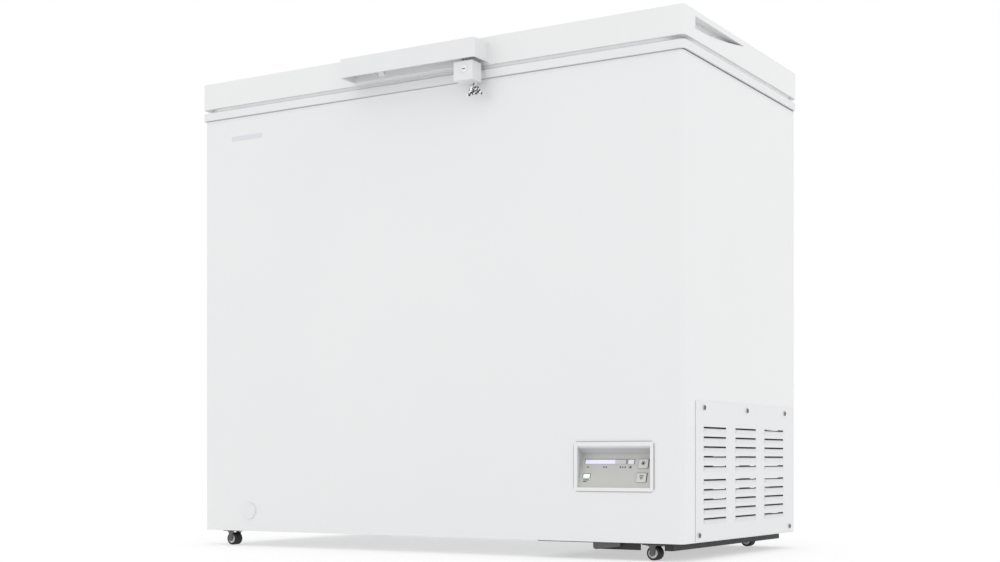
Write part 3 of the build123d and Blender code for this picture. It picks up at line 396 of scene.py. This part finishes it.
def zinc_plate():
    finish = Finish("zinc_plate", (0.58, 0.59, 0.61), 0.4, 0.9)
    spangle = finish.cells(0.007, "Color")
    grey = finish.node("ShaderNodeRGBToBW", {}, spangle)
    finish.put("Base Color", finish.blend(grey, (0.52, 0.53, 0.56), (0.66, 0.67, 0.68)))
    finish.put("Roughness", 0.3 + grey * 0.22)
    finish.bump(finish.noise(0.001), 0.00003, 0.5)
    return finish


def copper_tube():
    finish = Finish("copper_tube", (0.60, 0.27, 0.16), 0.3, 1.0)
    tarnish = finish.noise(0.03, 5.0).between(0.42, 0.68)
    finish.put("Base Color", finish.blend(tarnish, (0.66, 0.31, 0.18), (0.30, 0.15, 0.10)))
    finish.put("Roughness", 0.24 + tarnish * 0.3)
    finish.bump(finish.noise(0.0008), 0.00003, 0.4)
    return finish


def rigid_foam():
    finish = Finish("rigid_foam", (0.70, 0.60, 0.36), 0.85)
    pores = finish.cells(0.0015)
    finish.put("Base Color", finish.blend(pores, (0.60, 0.50, 0.28), (0.76, 0.67, 0.43)))
    finish.bump(pores, 0.0004, 0.9)
    return finish


def powder_coat(name, color, shade, roughness):
    finish = Finish(name, color, roughness)
    finish.wear(color, shade, 0.04, 0.3)
    finish.put("Roughness", roughness + finish.noise(0.01) * 0.15)
    finish.bump(finish.noise(0.0009, 2.0), 0.00008, 0.6)
    return finish


def circuit_board():
    finish = Finish("circuit_board", (0.02, 0.13, 0.06), 0.4)
    lanes = finish.node("ShaderNodeTexBrick", {}, finish.place, (0.02, 0.13, 0.06, 1),
                        (0.02, 0.11, 0.05, 1), (0.05, 0.24, 0.10, 1), 220.0, 0.03)
    finish.put("Base Color", lanes)
    finish.put("Roughness", 0.35 + finish.noise(0.004) * 0.2)
    return finish


def glowing(name, node, body, glow, strength, lit_from, lit_to):
    """A translucent lens that glows between two X coordinates, in a thin dark surround."""
    finish = Finish(name, body, 0.3)
    x = finish.axis("X")
    lit = x.between(lit_from - 0.0006, lit_from) * (1 - x.between(lit_to, lit_to + 0.0006))
    line = border(finish, *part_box(node), 1.2 * MM)
    lit = lit * (1 - line)
    soft = 0.7 + finish.noise(0.004) * 0.5
    tone = finish.blend(lit, body, glow)
    finish.put("Base Color", finish.blend(line, tone, (0.13, 0.13, 0.15)))
    finish.put("Emission Color", finish.blend(lit * soft, (0, 0, 0), glow))
    finish.put("Emission Strength", strength)
    finish.bump(finish.noise(0.0006), 0.00002, 0.4)
    return finish


liner_white = stucco_liner()
seal_grey = seal_rubber()
chrome = bright_chrome()
key_plating_painted_reflections = key_metal()
zinc = zinc_plate()
copper = copper_tube()
foam = rigid_foam()
charcoal = powder_coat("charcoal_coat", (0.016, 0.016, 0.018), (0.028, 0.028, 0.03), 0.5)
screw_dark = powder_coat("screw_blacking", (0.10, 0.10, 0.105), (0.16, 0.16, 0.165), 0.3)
compressor_black = powder_coat("compressor_enamel", (0.010, 0.010, 0.011), (0.02, 0.02, 0.02),
                               0.22)
bracket_grey = powder_coat("bracket_coat", (0.10, 0.10, 0.11), (0.06, 0.06, 0.065), 0.35)
strap_dark = powder_coat("castor_coat", (0.07, 0.07, 0.075), (0.11, 0.11, 0.115), 0.35)
black_rubber = powder_coat("black_rubber", (0.012, 0.012, 0.012), (0.02, 0.02, 0.02), 0.6)
board_green = circuit_board()
print(len(bpy.data.materials), "finishes")

# %% [markdown]
# ## Which piece wears which finish
# Every node of the frame gets the finish of its real material; the panel's frame and the vent also
# carry painted shade and the keys painted reflections. Nodes that the frame draws too simply (the
# wheels and the seal) are replaced further down by pieces of our own.

# %% Dress the frame
DRESS = {
    "outer_shell": white_sheet, "rear_panel": white_sheet, "hinge_brackets": white_sheet,
    "hinge_leaves": white_sheet, "lid_shell": lid_sheet, "inner_liner": liner_white,
    "rim_collar": white_moulded, "lid_liner": white_moulded, "side_grips": white_moulded,
    "handle": white_moulded, "control_bezel": bezel_painted_shade(), "side_grille": vent_panel_painted_shadow(),
    "drain_tube": white_moulded, "drain_cap": white_moulded, "floor_plug": white_moulded,
    "lock_housing": lock_moulded, "lock_base": lock_moulded, "control_fascia": fascia_grey,
    "upper_button": outlined_button("upper_button"),
    "lower_button": outlined_button("lower_button"), "cabinet_foam": foam,
    "lid_foam": foam, "evaporator_coil": copper, "condenser_coil": copper,
    "suction_pipe": copper, "discharge_pipe": copper, "filter_drier": copper,
    "lock_ring": chrome, "lock_barrel": chrome, "key_ring": key_plating_painted_reflections, "key_pair": key_plating_painted_reflections,
    "lid_gasket": seal_grey, "bottom_panel": zinc, "bay_partition": zinc, "rear_cover": zinc,
    "compressor_bolts": zinc, "cabinet_screws": zinc, "lid_screws": zinc, "hinge_pins": zinc,
    "hinge_springs": zinc, "castor_axles": strap_dark, "striker": zinc, "lock_cam": zinc,
    "compressor_tray": charcoal, "compressor": compressor_black, "tray_bracket": bracket_grey,
    "castor_brackets": strap_dark, "compressor_feet": black_rubber,
    "terminal_cover": black_moulded, "cord_gland": black_moulded, "control_board": board_green,
    "basket": basket_white, "basket_grips": grip_blue,
}
bar_low, bar_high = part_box("bar_lens")
boost_low, boost_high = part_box("boost_lamp")
run_low, run_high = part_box("running_lamp")
LIT_SHARE = 0.72
lit_end = bar_low[0] + (bar_high[0] - bar_low[0]) * LIT_SHARE
EDGE = 1.0 * MM
DRESS["bar_lens"] = glowing("bar_lens_glow", "bar_lens", (0.62, 0.61, 0.62), (0.60, 0.60, 1.0),
                            0.5, bar_low[0] + EDGE, lit_end)
DRESS["boost_lamp"] = glowing("boost_lens_glow", "boost_lamp", (0.66, 0.65, 0.68),
                              (0.78, 0.78, 0.83), 0.04, boost_low[0] + EDGE, boost_high[0] - EDGE)
DRESS["running_lamp"] = glowing("running_lens_glow", "running_lamp", (0.62, 0.64, 0.62),
                                (0.74, 0.98, 0.84), 0.35, run_low[0] + EDGE, run_high[0] - EDGE)
for name, node in nodes.items():
    if name in DRESS:
        node.data.materials.clear()
        node.data.materials.append(DRESS[name].material)
print("dressed", sum(name in DRESS for name in nodes), "of", len(nodes))

# %% [markdown]
# ## Making a new piece
# Every new piece is a bmesh that is turned into one object at the origin, smoothed where faces
# meet at a shallow angle, and tied to the body it moves with.

# %% Piece helper
def piece(name, bm, body, finish, smooth=35.0):
    """Turn a bmesh into a finished piece that rides on a body."""
    bmesh.ops.remove_doubles(bm, verts=bm.verts, dist=1e-6)
    bmesh.ops.recalc_face_normals(bm, faces=bm.faces)
    mesh = bpy.data.meshes.new(name)
    bm.to_mesh(mesh)
    bm.free()
    mesh.materials.append(finish.material)
    mesh.shade_smooth()
    mesh.set_sharp_from_angle(angle=radians(smooth))
    thing = bpy.data.objects.new(name, mesh)
    bpy.context.scene.collection.objects.link(thing)
    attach(thing, body)
    return thing


def centre(node):
    low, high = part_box(node)
    return (Vector(low) + Vector(high)) / 2


def spun(profile, axis_point, axis, steps):
    """A closed ring: a profile of points spun once round an axis."""
    bm = bmesh.new()
    ring = [bm.verts.new(point) for point in profile]
    edges = [bm.edges.new((a, b)) for a, b in zip(ring, ring[1:] + ring[:1])]
    bmesh.ops.spin(bm, geom=ring + edges, cent=axis_point, axis=axis, angle=2 * pi, steps=steps,
                   use_merge=True)
    return bm


print("piece helper ready")

# %% [markdown]
# ## Castor wheels
# A small castor is a hard pale hub with a black tread moulded round it. Both are bodies of
# revolution, so each is one outline spun round the axle. The tread's outline has rounded shoulders
# and two shallow grooves; the hub's has a dished web and a boss.

# %% Treads and hubs
WHEEL_STEPS = 48


def tread_outline(radius, half, core):
    """Tread section as (radius, offset along the axle) pairs."""
    shoulder = 2.0 * MM
    groove = 0.5 * MM
    return [(core, -half), (radius - shoulder, -half), (radius - 0.6 * MM, -half + 0.7 * MM),
            (radius, -half + shoulder), (radius, -half * 0.42), (radius - groove, -half * 0.36),
            (radius - groove, -half * 0.26), (radius, -half * 0.2), (radius, half * 0.2),
            (radius - groove, half * 0.26), (radius - groove, half * 0.36),
            (radius, half * 0.42), (radius, half - shoulder),
            (radius - 0.6 * MM, half - 0.7 * MM), (radius - shoulder, half), (core, half)]


def hub_outline(core, half, bore):
    """Hub section: bore, boss, dished web and rim."""
    rim = 1.2 * MM
    web = half - 2.6 * MM
    boss = bore + 1.6 * MM
    return [(bore, -half + 0.3 * MM), (boss, -half + 0.3 * MM), (boss + 0.4 * MM, -web),
            (core - rim, -web), (core - rim * 0.6, -half + 0.2 * MM), (core, -half + 0.2 * MM),
            (core, half - 0.2 * MM), (core - rim * 0.6, half - 0.2 * MM), (core - rim, web),
            (boss + 0.4 * MM, web), (boss, half - 0.3 * MM), (bore, half - 0.3 * MM)]


HUB_SHARE = 0.68
BORE = 3.05 * MM
for corner in ("front_left", "front_right", "rear_left", "rear_right"):
    node = f"wheel_{corner}"
    low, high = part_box(node)
    middle = centre(node)
    radius = (high[2] - low[2]) / 2
    half = (high[1] - low[1]) / 2
    core = radius * HUB_SHARE
    for part, outline, finish, slot in (
            ("tread", tread_outline(radius, half, core), black_rubber, "wheel_black"),
            ("hub", hub_outline(core, half, BORE), hub_grey, "wheel_black")):
        points = [middle + Vector((0, along, out)) for out, along in outline]
        thing = piece(f"{part}_{corner}", spun(points, middle, (0, 1, 0), WHEEL_STEPS), node,
                      finish)
        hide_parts(node)
print("4 wheels, radius", round(radius / MM, 1), "mm")

# %% [markdown]
# ## The seal
# A freezer seal is a soft hollow bead with a flap on each side, running all round the lid. One
# section is drawn, pushed along each straight side and spun round each corner, exactly as the real
# profile is extruded and then mitred.

# %% Seal
SEAL_CORNER = 12.0 * MM
SEAL_LIP = 6.2 * MM
CORNER_STEPS = 10


def seal_section(width, height):
    """Section points as (inward from the outer edge, up from the collar)."""
    return [(0.0, height), (-SEAL_LIP + 0.5 * MM, height), (-SEAL_LIP, height * 0.84),
            (-SEAL_LIP + 0.5 * MM, height * 0.62), (-SEAL_LIP, height * 0.4),
            (-SEAL_LIP + 1.2 * MM, height * 0.1), (2.0 * MM, 0.0), (width * 0.34, 0.0),
            (width * 0.40, height * 0.2), (width * 0.46, height * 0.2),
            (width * 0.52, 0.0), (width - 2.0 * MM, 0.0), (width - 0.8 * MM, height * 0.3),
            (width - 1.8 * MM, height * 0.5), (width, height)]


def edges_of(geometry):
    return [item for item in geometry if isinstance(item, bmesh.types.BMEdge)]


def push(bm, edges, step):
    """Extrude open edges and move the new ones by a step; gives the new ends back."""
    made = bmesh.ops.extrude_edge_only(bm, edges=edges)["geom"]
    moved = [item for item in made if isinstance(item, bmesh.types.BMVert)]
    bmesh.ops.translate(bm, verts=moved, vec=step)
    return [item for item in made if not isinstance(item, bmesh.types.BMFace)]


def frame_sweep(section, low, high, radius):
    """Push a section round an upright-cornered frame between two corners of a box."""
    bm = bmesh.new()
    x0, y0, x1, y1 = low[0], low[1], high[0], high[1]
    start = [bm.verts.new(((x0 + x1) / 2, y0 + inward, low[2] + up)) for inward, up in section]
    front = start + [bm.edges.new((a, b)) for a, b in zip(start, start[1:] + start[:1])]
    runs = [((x1 - radius - (x0 + x1) / 2, 0, 0), (x1 - radius, y0 + radius)),
            ((0, y1 - y0 - 2 * radius, 0), (x1 - radius, y1 - radius)),
            ((x0 - x1 + 2 * radius, 0, 0), (x0 + radius, y1 - radius)),
            ((0, y0 - y1 + 2 * radius, 0), (x0 + radius, y0 + radius))]
    for step, turn in runs:
        rim = push(bm, edges_of(front), step)
        made = bmesh.ops.spin(bm, geom=rim, cent=(*turn, low[2]), axis=(0, 0, 1), angle=pi / 2,
                              steps=CORNER_STEPS)
        front = made["geom_last"]
    push(bm, edges_of(front), ((x0 + x1) / 2 - x0 - radius, 0, 0))
    return bm


low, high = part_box("lid_gasket")
GASKET_WIDTH = 24.0 * MM
section = seal_section(GASKET_WIDTH, high[2] - low[2])
seal = piece("lid_seal", frame_sweep(section, low, high, SEAL_CORNER + GASKET_WIDTH), "lid",
             seal_grey, smooth=50.0)
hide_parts("lid_gasket")
print("seal", len(seal.data.vertices), "points")

# %% [markdown]
# ## Painted shade in the joint below the collar
# Where the moulded collar sits on the steel there is a thin gap, and a thin dark strip laid in it is
# painted shade. It is the same sweep as the seal, only much thinner, painted darker at the sides than
# along the front.

# %% Painted joint shade
def joint_shade_strip():
    """Dark strip of painted shade in the joint below the collar; pale along the front."""
    finish = Finish("painted_joint_shade", (0.10, 0.10, 0.11), 0.6)
    # painted shade: the strip is dark on the sides and paler along the front, as the light falls on
    # the gap
    painted_side_shade = finish.axis("X").between(shell_high[0] - 0.003, shell_high[0] - 0.001)
    uneven = finish.noise(0.008).between(0.3, 0.7)
    painted_shade_tone = finish.blend(uneven, (0.10, 0.10, 0.11), (0.16, 0.16, 0.17))
    finish.put("Base Color", finish.blend(painted_side_shade, (0.42, 0.42, 0.43), painted_shade_tone))
    finish.bump(finish.noise(0.001), 0.00005, 0.5)
    return finish


shell_low, shell_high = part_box("outer_shell")
# painted shade: a thin dark strip laid in the gap under the collar
SHADE_STRIP = 1.3 * MM
SHADE_STRIP_PROUD = 0.5 * MM
shade_strip_section = [(0.0, 0.0), (0.0, SHADE_STRIP), (1.2 * MM, SHADE_STRIP), (1.2 * MM, 0.0)]
shade_strip_low = (shell_low[0] - SHADE_STRIP_PROUD, shell_low[1] - SHADE_STRIP_PROUD, shell_high[2] - SHADE_STRIP)
shade_strip_high = (shell_high[0] + SHADE_STRIP_PROUD, shell_high[1], shell_high[2])
piece("joint_shade_strip", frame_sweep(shade_strip_section, shade_strip_low, shade_strip_high, 6.0 * MM), "cabinet",
      joint_shade_strip(), smooth=30.0)
print("bead below the collar")

# %% [markdown]
# ## Marks on the control panel
# The panel needs something to tell its lamps and buttons apart. Dots that grow in number stand for
# the cold setting, a six-armed star for the fast-freeze, and plain bars for the rest; all are thin
# raised print, so they are thin extruded shapes that lie on the sloping fascia.

# %% Marks
TILT = radians(18.2)
fascia_low, fascia_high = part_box("control_fascia")
slope_right = Vector((1, 0, 0))
slope_out = Vector((0, -cos(TILT), sin(TILT)))
slope_up = slope_out.cross(slope_right)
PRINT = 0.12 * MM


def slope_frame(point, lift):
    """Matrix that lays flat work on the fascia at a point, lifted off it."""
    spot = Vector(point) + slope_out * lift
    axes = Matrix((slope_right, slope_up, slope_out)).transposed().to_4x4()
    return Matrix.Translation(spot) @ axes


def flat_bar(bm, width, height, turn=0.0, shift=(0, 0)):
    """Add a thin bar to a flat drawing."""
    made = bmesh.ops.create_grid(bm, x_segments=1, y_segments=1, size=0.5)
    bmesh.ops.scale(bm, verts=made["verts"], vec=(width, height, 1))
    bmesh.ops.translate(bm, verts=made["verts"], vec=(shift[0], shift[1], 0))
    bmesh.ops.rotate(bm, verts=made["verts"], cent=(0, 0, 0), matrix=Matrix.Rotation(turn, 3, "Z"))


def flat_dot(bm, radius, shift):
    made = bmesh.ops.create_circle(bm, cap_ends=True, segments=16, radius=radius)
    bmesh.ops.translate(bm, verts=made["verts"], vec=(shift[0], shift[1], 0))


def lay(bm, matrix, thickness=PRINT):
    """Give a flat drawing its thickness and put it in place."""
    made = bmesh.ops.extrude_face_region(bm, geom=list(bm.faces))
    raised = [v for v in made["geom"] if isinstance(v, bmesh.types.BMVert)]
    bmesh.ops.translate(bm, verts=raised, vec=(0, 0, thickness))
    bmesh.ops.transform(bm, verts=bm.verts, matrix=matrix)
    return bm


print("slope up", [round(v, 3) for v in slope_up])

# %% Print on the fascia and the buttons
FASCIA_THICK = 2.5 * MM
fascia_foot = Vector(((fascia_low[0] + fascia_high[0]) / 2, fascia_low[1],
                      fascia_low[2] + FASCIA_THICK * sin(TILT)))
slope_length = (fascia_high[2] - fascia_foot[2]) / cos(TILT)


def on_slope(x, down):
    """Point on the fascia's face, at an X and a distance below its top edge."""
    point = fascia_foot + slope_up * (slope_length - down)
    point.x = x
    return point


def star(bm, size):
    """Six-armed frost star from three crossed bars."""
    for arm in range(3):
        flat_bar(bm, size, size * 0.17, turn=arm * pi / 3)


print_dark = moulded("panel_print", (0.03, 0.03, 0.04), (0.06, 0.06, 0.07), 0.5)
MARK_DOWN = 21.2 * MM
DOT = 1.3 * MM
bar_start = bar_low[0]
bar_width = bar_high[0] - bar_low[0]
for count, share in ((1, 0.09), (2, 0.5), (3, 0.92)):
    bm = bmesh.new()
    for index in range(count):
        flat_dot(bm, DOT, ((index - (count - 1) / 2) * DOT * 3.2, 0))
    spot = on_slope(bar_start + bar_width * share, MARK_DOWN)
    piece(f"cold_mark_{count}", lay(bm, slope_frame(spot, 0)), "cabinet", print_dark)

bm = bmesh.new()
star(bm, 5.0 * MM)
spot = on_slope((boost_low[0] + boost_high[0]) / 2, MARK_DOWN)
piece("boost_mark", lay(bm, slope_frame(spot, 0)), "cabinet", print_dark)

bm = bmesh.new()
flat_bar(bm, 9.5 * MM, 1.3 * MM)
flat_bar(bm, 6.0 * MM, 1.3 * MM, shift=(-1.7 * MM, -2.6 * MM))
spot = on_slope((run_low[0] + run_high[0]) / 2, 42.0 * MM)
piece("running_mark", lay(bm, slope_frame(spot, 0)), "cabinet", print_dark)

BUTTON_PROUD = 1.8 * MM
BUTTON_DOWN = {"upper_button": 15.4 * MM, "lower_button": 37.7 * MM}
for name, down in BUTTON_DOWN.items():
    bm = bmesh.new()
    if name == "upper_button":
        star(bm, 7.0 * MM)
    else:
        for index in range(3):
            flat_bar(bm, (4.0 + index * 1.6) * MM, 1.2 * MM, shift=(0, (index - 1) * 2.4 * MM))
    spot = on_slope(centre(name).x, down)
    piece(f"{name}_mark", lay(bm, slope_frame(spot, BUTTON_PROUD)), name, print_dark)
print("marks laid on the slope", round(slope_length / MM, 1), "mm long")

# %% [markdown]
# ## Screw heads and bolts
# Small cross-head screws hold the grille, the rear cover and the hinges. A head is a five by five
# grid whose rim is pushed out to a circle and whose middle cross is pressed in, so it needs only a
# few dozen faces. Hexagon bolts hold the castors.

# %% Cross heads and hexagon heads
GRID_LINES = (-1.0, -0.60, -0.15, 0.15, 0.60, 1.0)


def cross_head(bm, place, out, radius):
    """Add a domed head with a cross recess, its top facing out."""
    made = bmesh.ops.create_grid(bm, x_segments=5, y_segments=5, size=1)
    verts = made["verts"]
    last = len(GRID_LINES) - 1
    for vert in verts:
        column = round((vert.co.x + 1) / 2 * last)
        row = round((vert.co.y + 1) / 2 * last)
        spot = Vector((GRID_LINES[column], GRID_LINES[row], 0))
        if {column, row} & {0, last}:
            spot.normalize()
        vert.co = (spot.x, spot.y, 0.28 * (1 - spot.length_squared))
    faces = {face for vert in verts for face in vert.link_faces}
    middle = [f for f in faces if min(abs(f.calc_center_median().x), abs(f.calc_center_median().y))
              < 0.05 and f.calc_center_median().length < 0.5]
    made = bmesh.ops.extrude_face_region(bm, geom=middle)
    sunk = [v for v in made["geom"] if isinstance(v, bmesh.types.BMVert)]
    bmesh.ops.translate(bm, verts=sunk, vec=(0, 0, -0.35))
    bmesh.ops.delete(bm, geom=[f for f in middle if f.is_valid], context="FACES_ONLY")
    rim = [e for v in verts if v.is_valid for e in v.link_edges if e.is_boundary]
    made = bmesh.ops.extrude_edge_only(bm, edges=list(set(rim)))
    skirt = [v for v in made["geom"] if isinstance(v, bmesh.types.BMVert)]
    bmesh.ops.translate(bm, verts=skirt, vec=(0, 0, -0.12))
    whole = list({v for v in verts if v.is_valid} | set(sunk) | set(skirt))
    turn = Vector(out).to_track_quat("Z", "Y").to_matrix().to_4x4()
    matrix = Matrix.Translation(place) @ turn @ Matrix.Diagonal((radius, radius, radius, 1))
    bmesh.ops.transform(bm, verts=whole, matrix=matrix)


def hex_head(bm, place, out, radius, height):
    """Add a hexagon bolt head with a chamfer."""
    made = bmesh.ops.create_cone(bm, cap_ends=True, segments=6, radius1=radius, radius2=radius,
                                 depth=height)
    edges = {e for v in made["verts"] if v.co.z > 0 for e in v.link_edges if all(
        w.co.z > 0 for w in e.verts)}
    made2 = bmesh.ops.bevel(bm, geom=list(edges), offset=height * 0.25, affect="EDGES", segments=1,
                            profile=0.5, material=-1)
    whole = {v for v in made["verts"] if v.is_valid} | set(made2["verts"])
    turn = Vector(out).to_track_quat("Z", "Y").to_matrix().to_4x4()
    bmesh.ops.transform(bm, verts=list(whole), matrix=Matrix.Translation(place) @ turn)


def loose_parts(node):
    """Lowest and highest corner of each separate solid in a node."""
    bm = bmesh.new()
    bm.from_mesh(nodes[node].data)
    bmesh.ops.remove_doubles(bm, verts=bm.verts, dist=1e-6)
    left = set(bm.verts)
    boxes = []
    while left:
        stack = [left.pop()]
        found = list(stack)
        while stack:
            for edge in stack.pop().link_edges:
                for vert in edge.verts:
                    if vert in left:
                        left.remove(vert)
                        stack.append(vert)
                        found.append(vert)
        spans = [[v.co[i] for v in found] for i in range(3)]
        boxes.append((Vector(map(min, spans)), Vector(map(max, spans))))
    bm.free()
    return sorted(boxes, key=lambda pair: tuple(pair[0]))


def screw_heads(name, node, body, radius):
    """Cross heads on the screws of a node that point along +X, +Y or -Y."""
    bm = bmesh.new()
    count = 0
    for low, high in loose_parts(node):
        size = high - low
        along = max(range(3), key=lambda i: size[i])
        middle = (low + high) / 2
        out = Vector((0, 0, 0))
        towards = 1 if along == 0 or middle.y > 0 else -1
        out[along] = towards
        middle[along] = high[along] if towards > 0 else low[along]
        cross_head(bm, middle + out * 0.1 * radius, out, radius)
        count += 1
    piece(name, bm, body, screw_dark, smooth=25.0)
    return count


SCREW_HEAD = 3.9 * MM
total = screw_heads("cabinet_screw_heads", "cabinet_screws", "cabinet", SCREW_HEAD)
total += screw_heads("lid_screw_heads", "lid_screws", "lid", SCREW_HEAD)
print(total, "screw heads")

# %% Castor bolts and blank badge
BOLT_SIDE = 13.2 * MM
bm = bmesh.new()
for low, high in loose_parts("castor_brackets"):
    middle = (low + high) / 2
    plate_under = high.z - 1.6 * MM
    for side in (-1, 1):
        place = Vector((middle.x + side * BOLT_SIDE, middle.y, plate_under - 1.0 * MM))
        hex_head(bm, place, (0, 0, -1), 2.6 * MM, 2.0 * MM)
piece("castor_bolts", bm, "cabinet", zinc, smooth=20.0)

badge_tone = moulded("badge_tone", (0.72, 0.725, 0.75), (0.68, 0.685, 0.71), 0.3)
BADGE = (69.0 * MM, 8.0 * MM, 0.4 * MM)
BADGE_X = -371.5 * MM
BADGE_BELOW_TOP = 38.0 * MM
bm = bmesh.new()
bmesh.ops.create_cube(bm, size=1.0)
bmesh.ops.scale(bm, verts=bm.verts, vec=(BADGE[0], BADGE[2], BADGE[1]))
upright = [e for e in bm.edges if abs(e.verts[0].co.y - e.verts[1].co.y) > BADGE[2] / 2]
bmesh.ops.bevel(bm, geom=upright, offset=BADGE[1] * 0.3, affect="EDGES", segments=6, profile=0.5,
                material=-1)
bmesh.ops.translate(bm, verts=bm.verts, vec=(BADGE_X, shell_low[1] - BADGE[2] / 2,
                                              shell_high[2] - BADGE_BELOW_TOP))
piece("blank_badge", bm, "cabinet", badge_tone, smooth=40.0)
print("bolts and badge added")
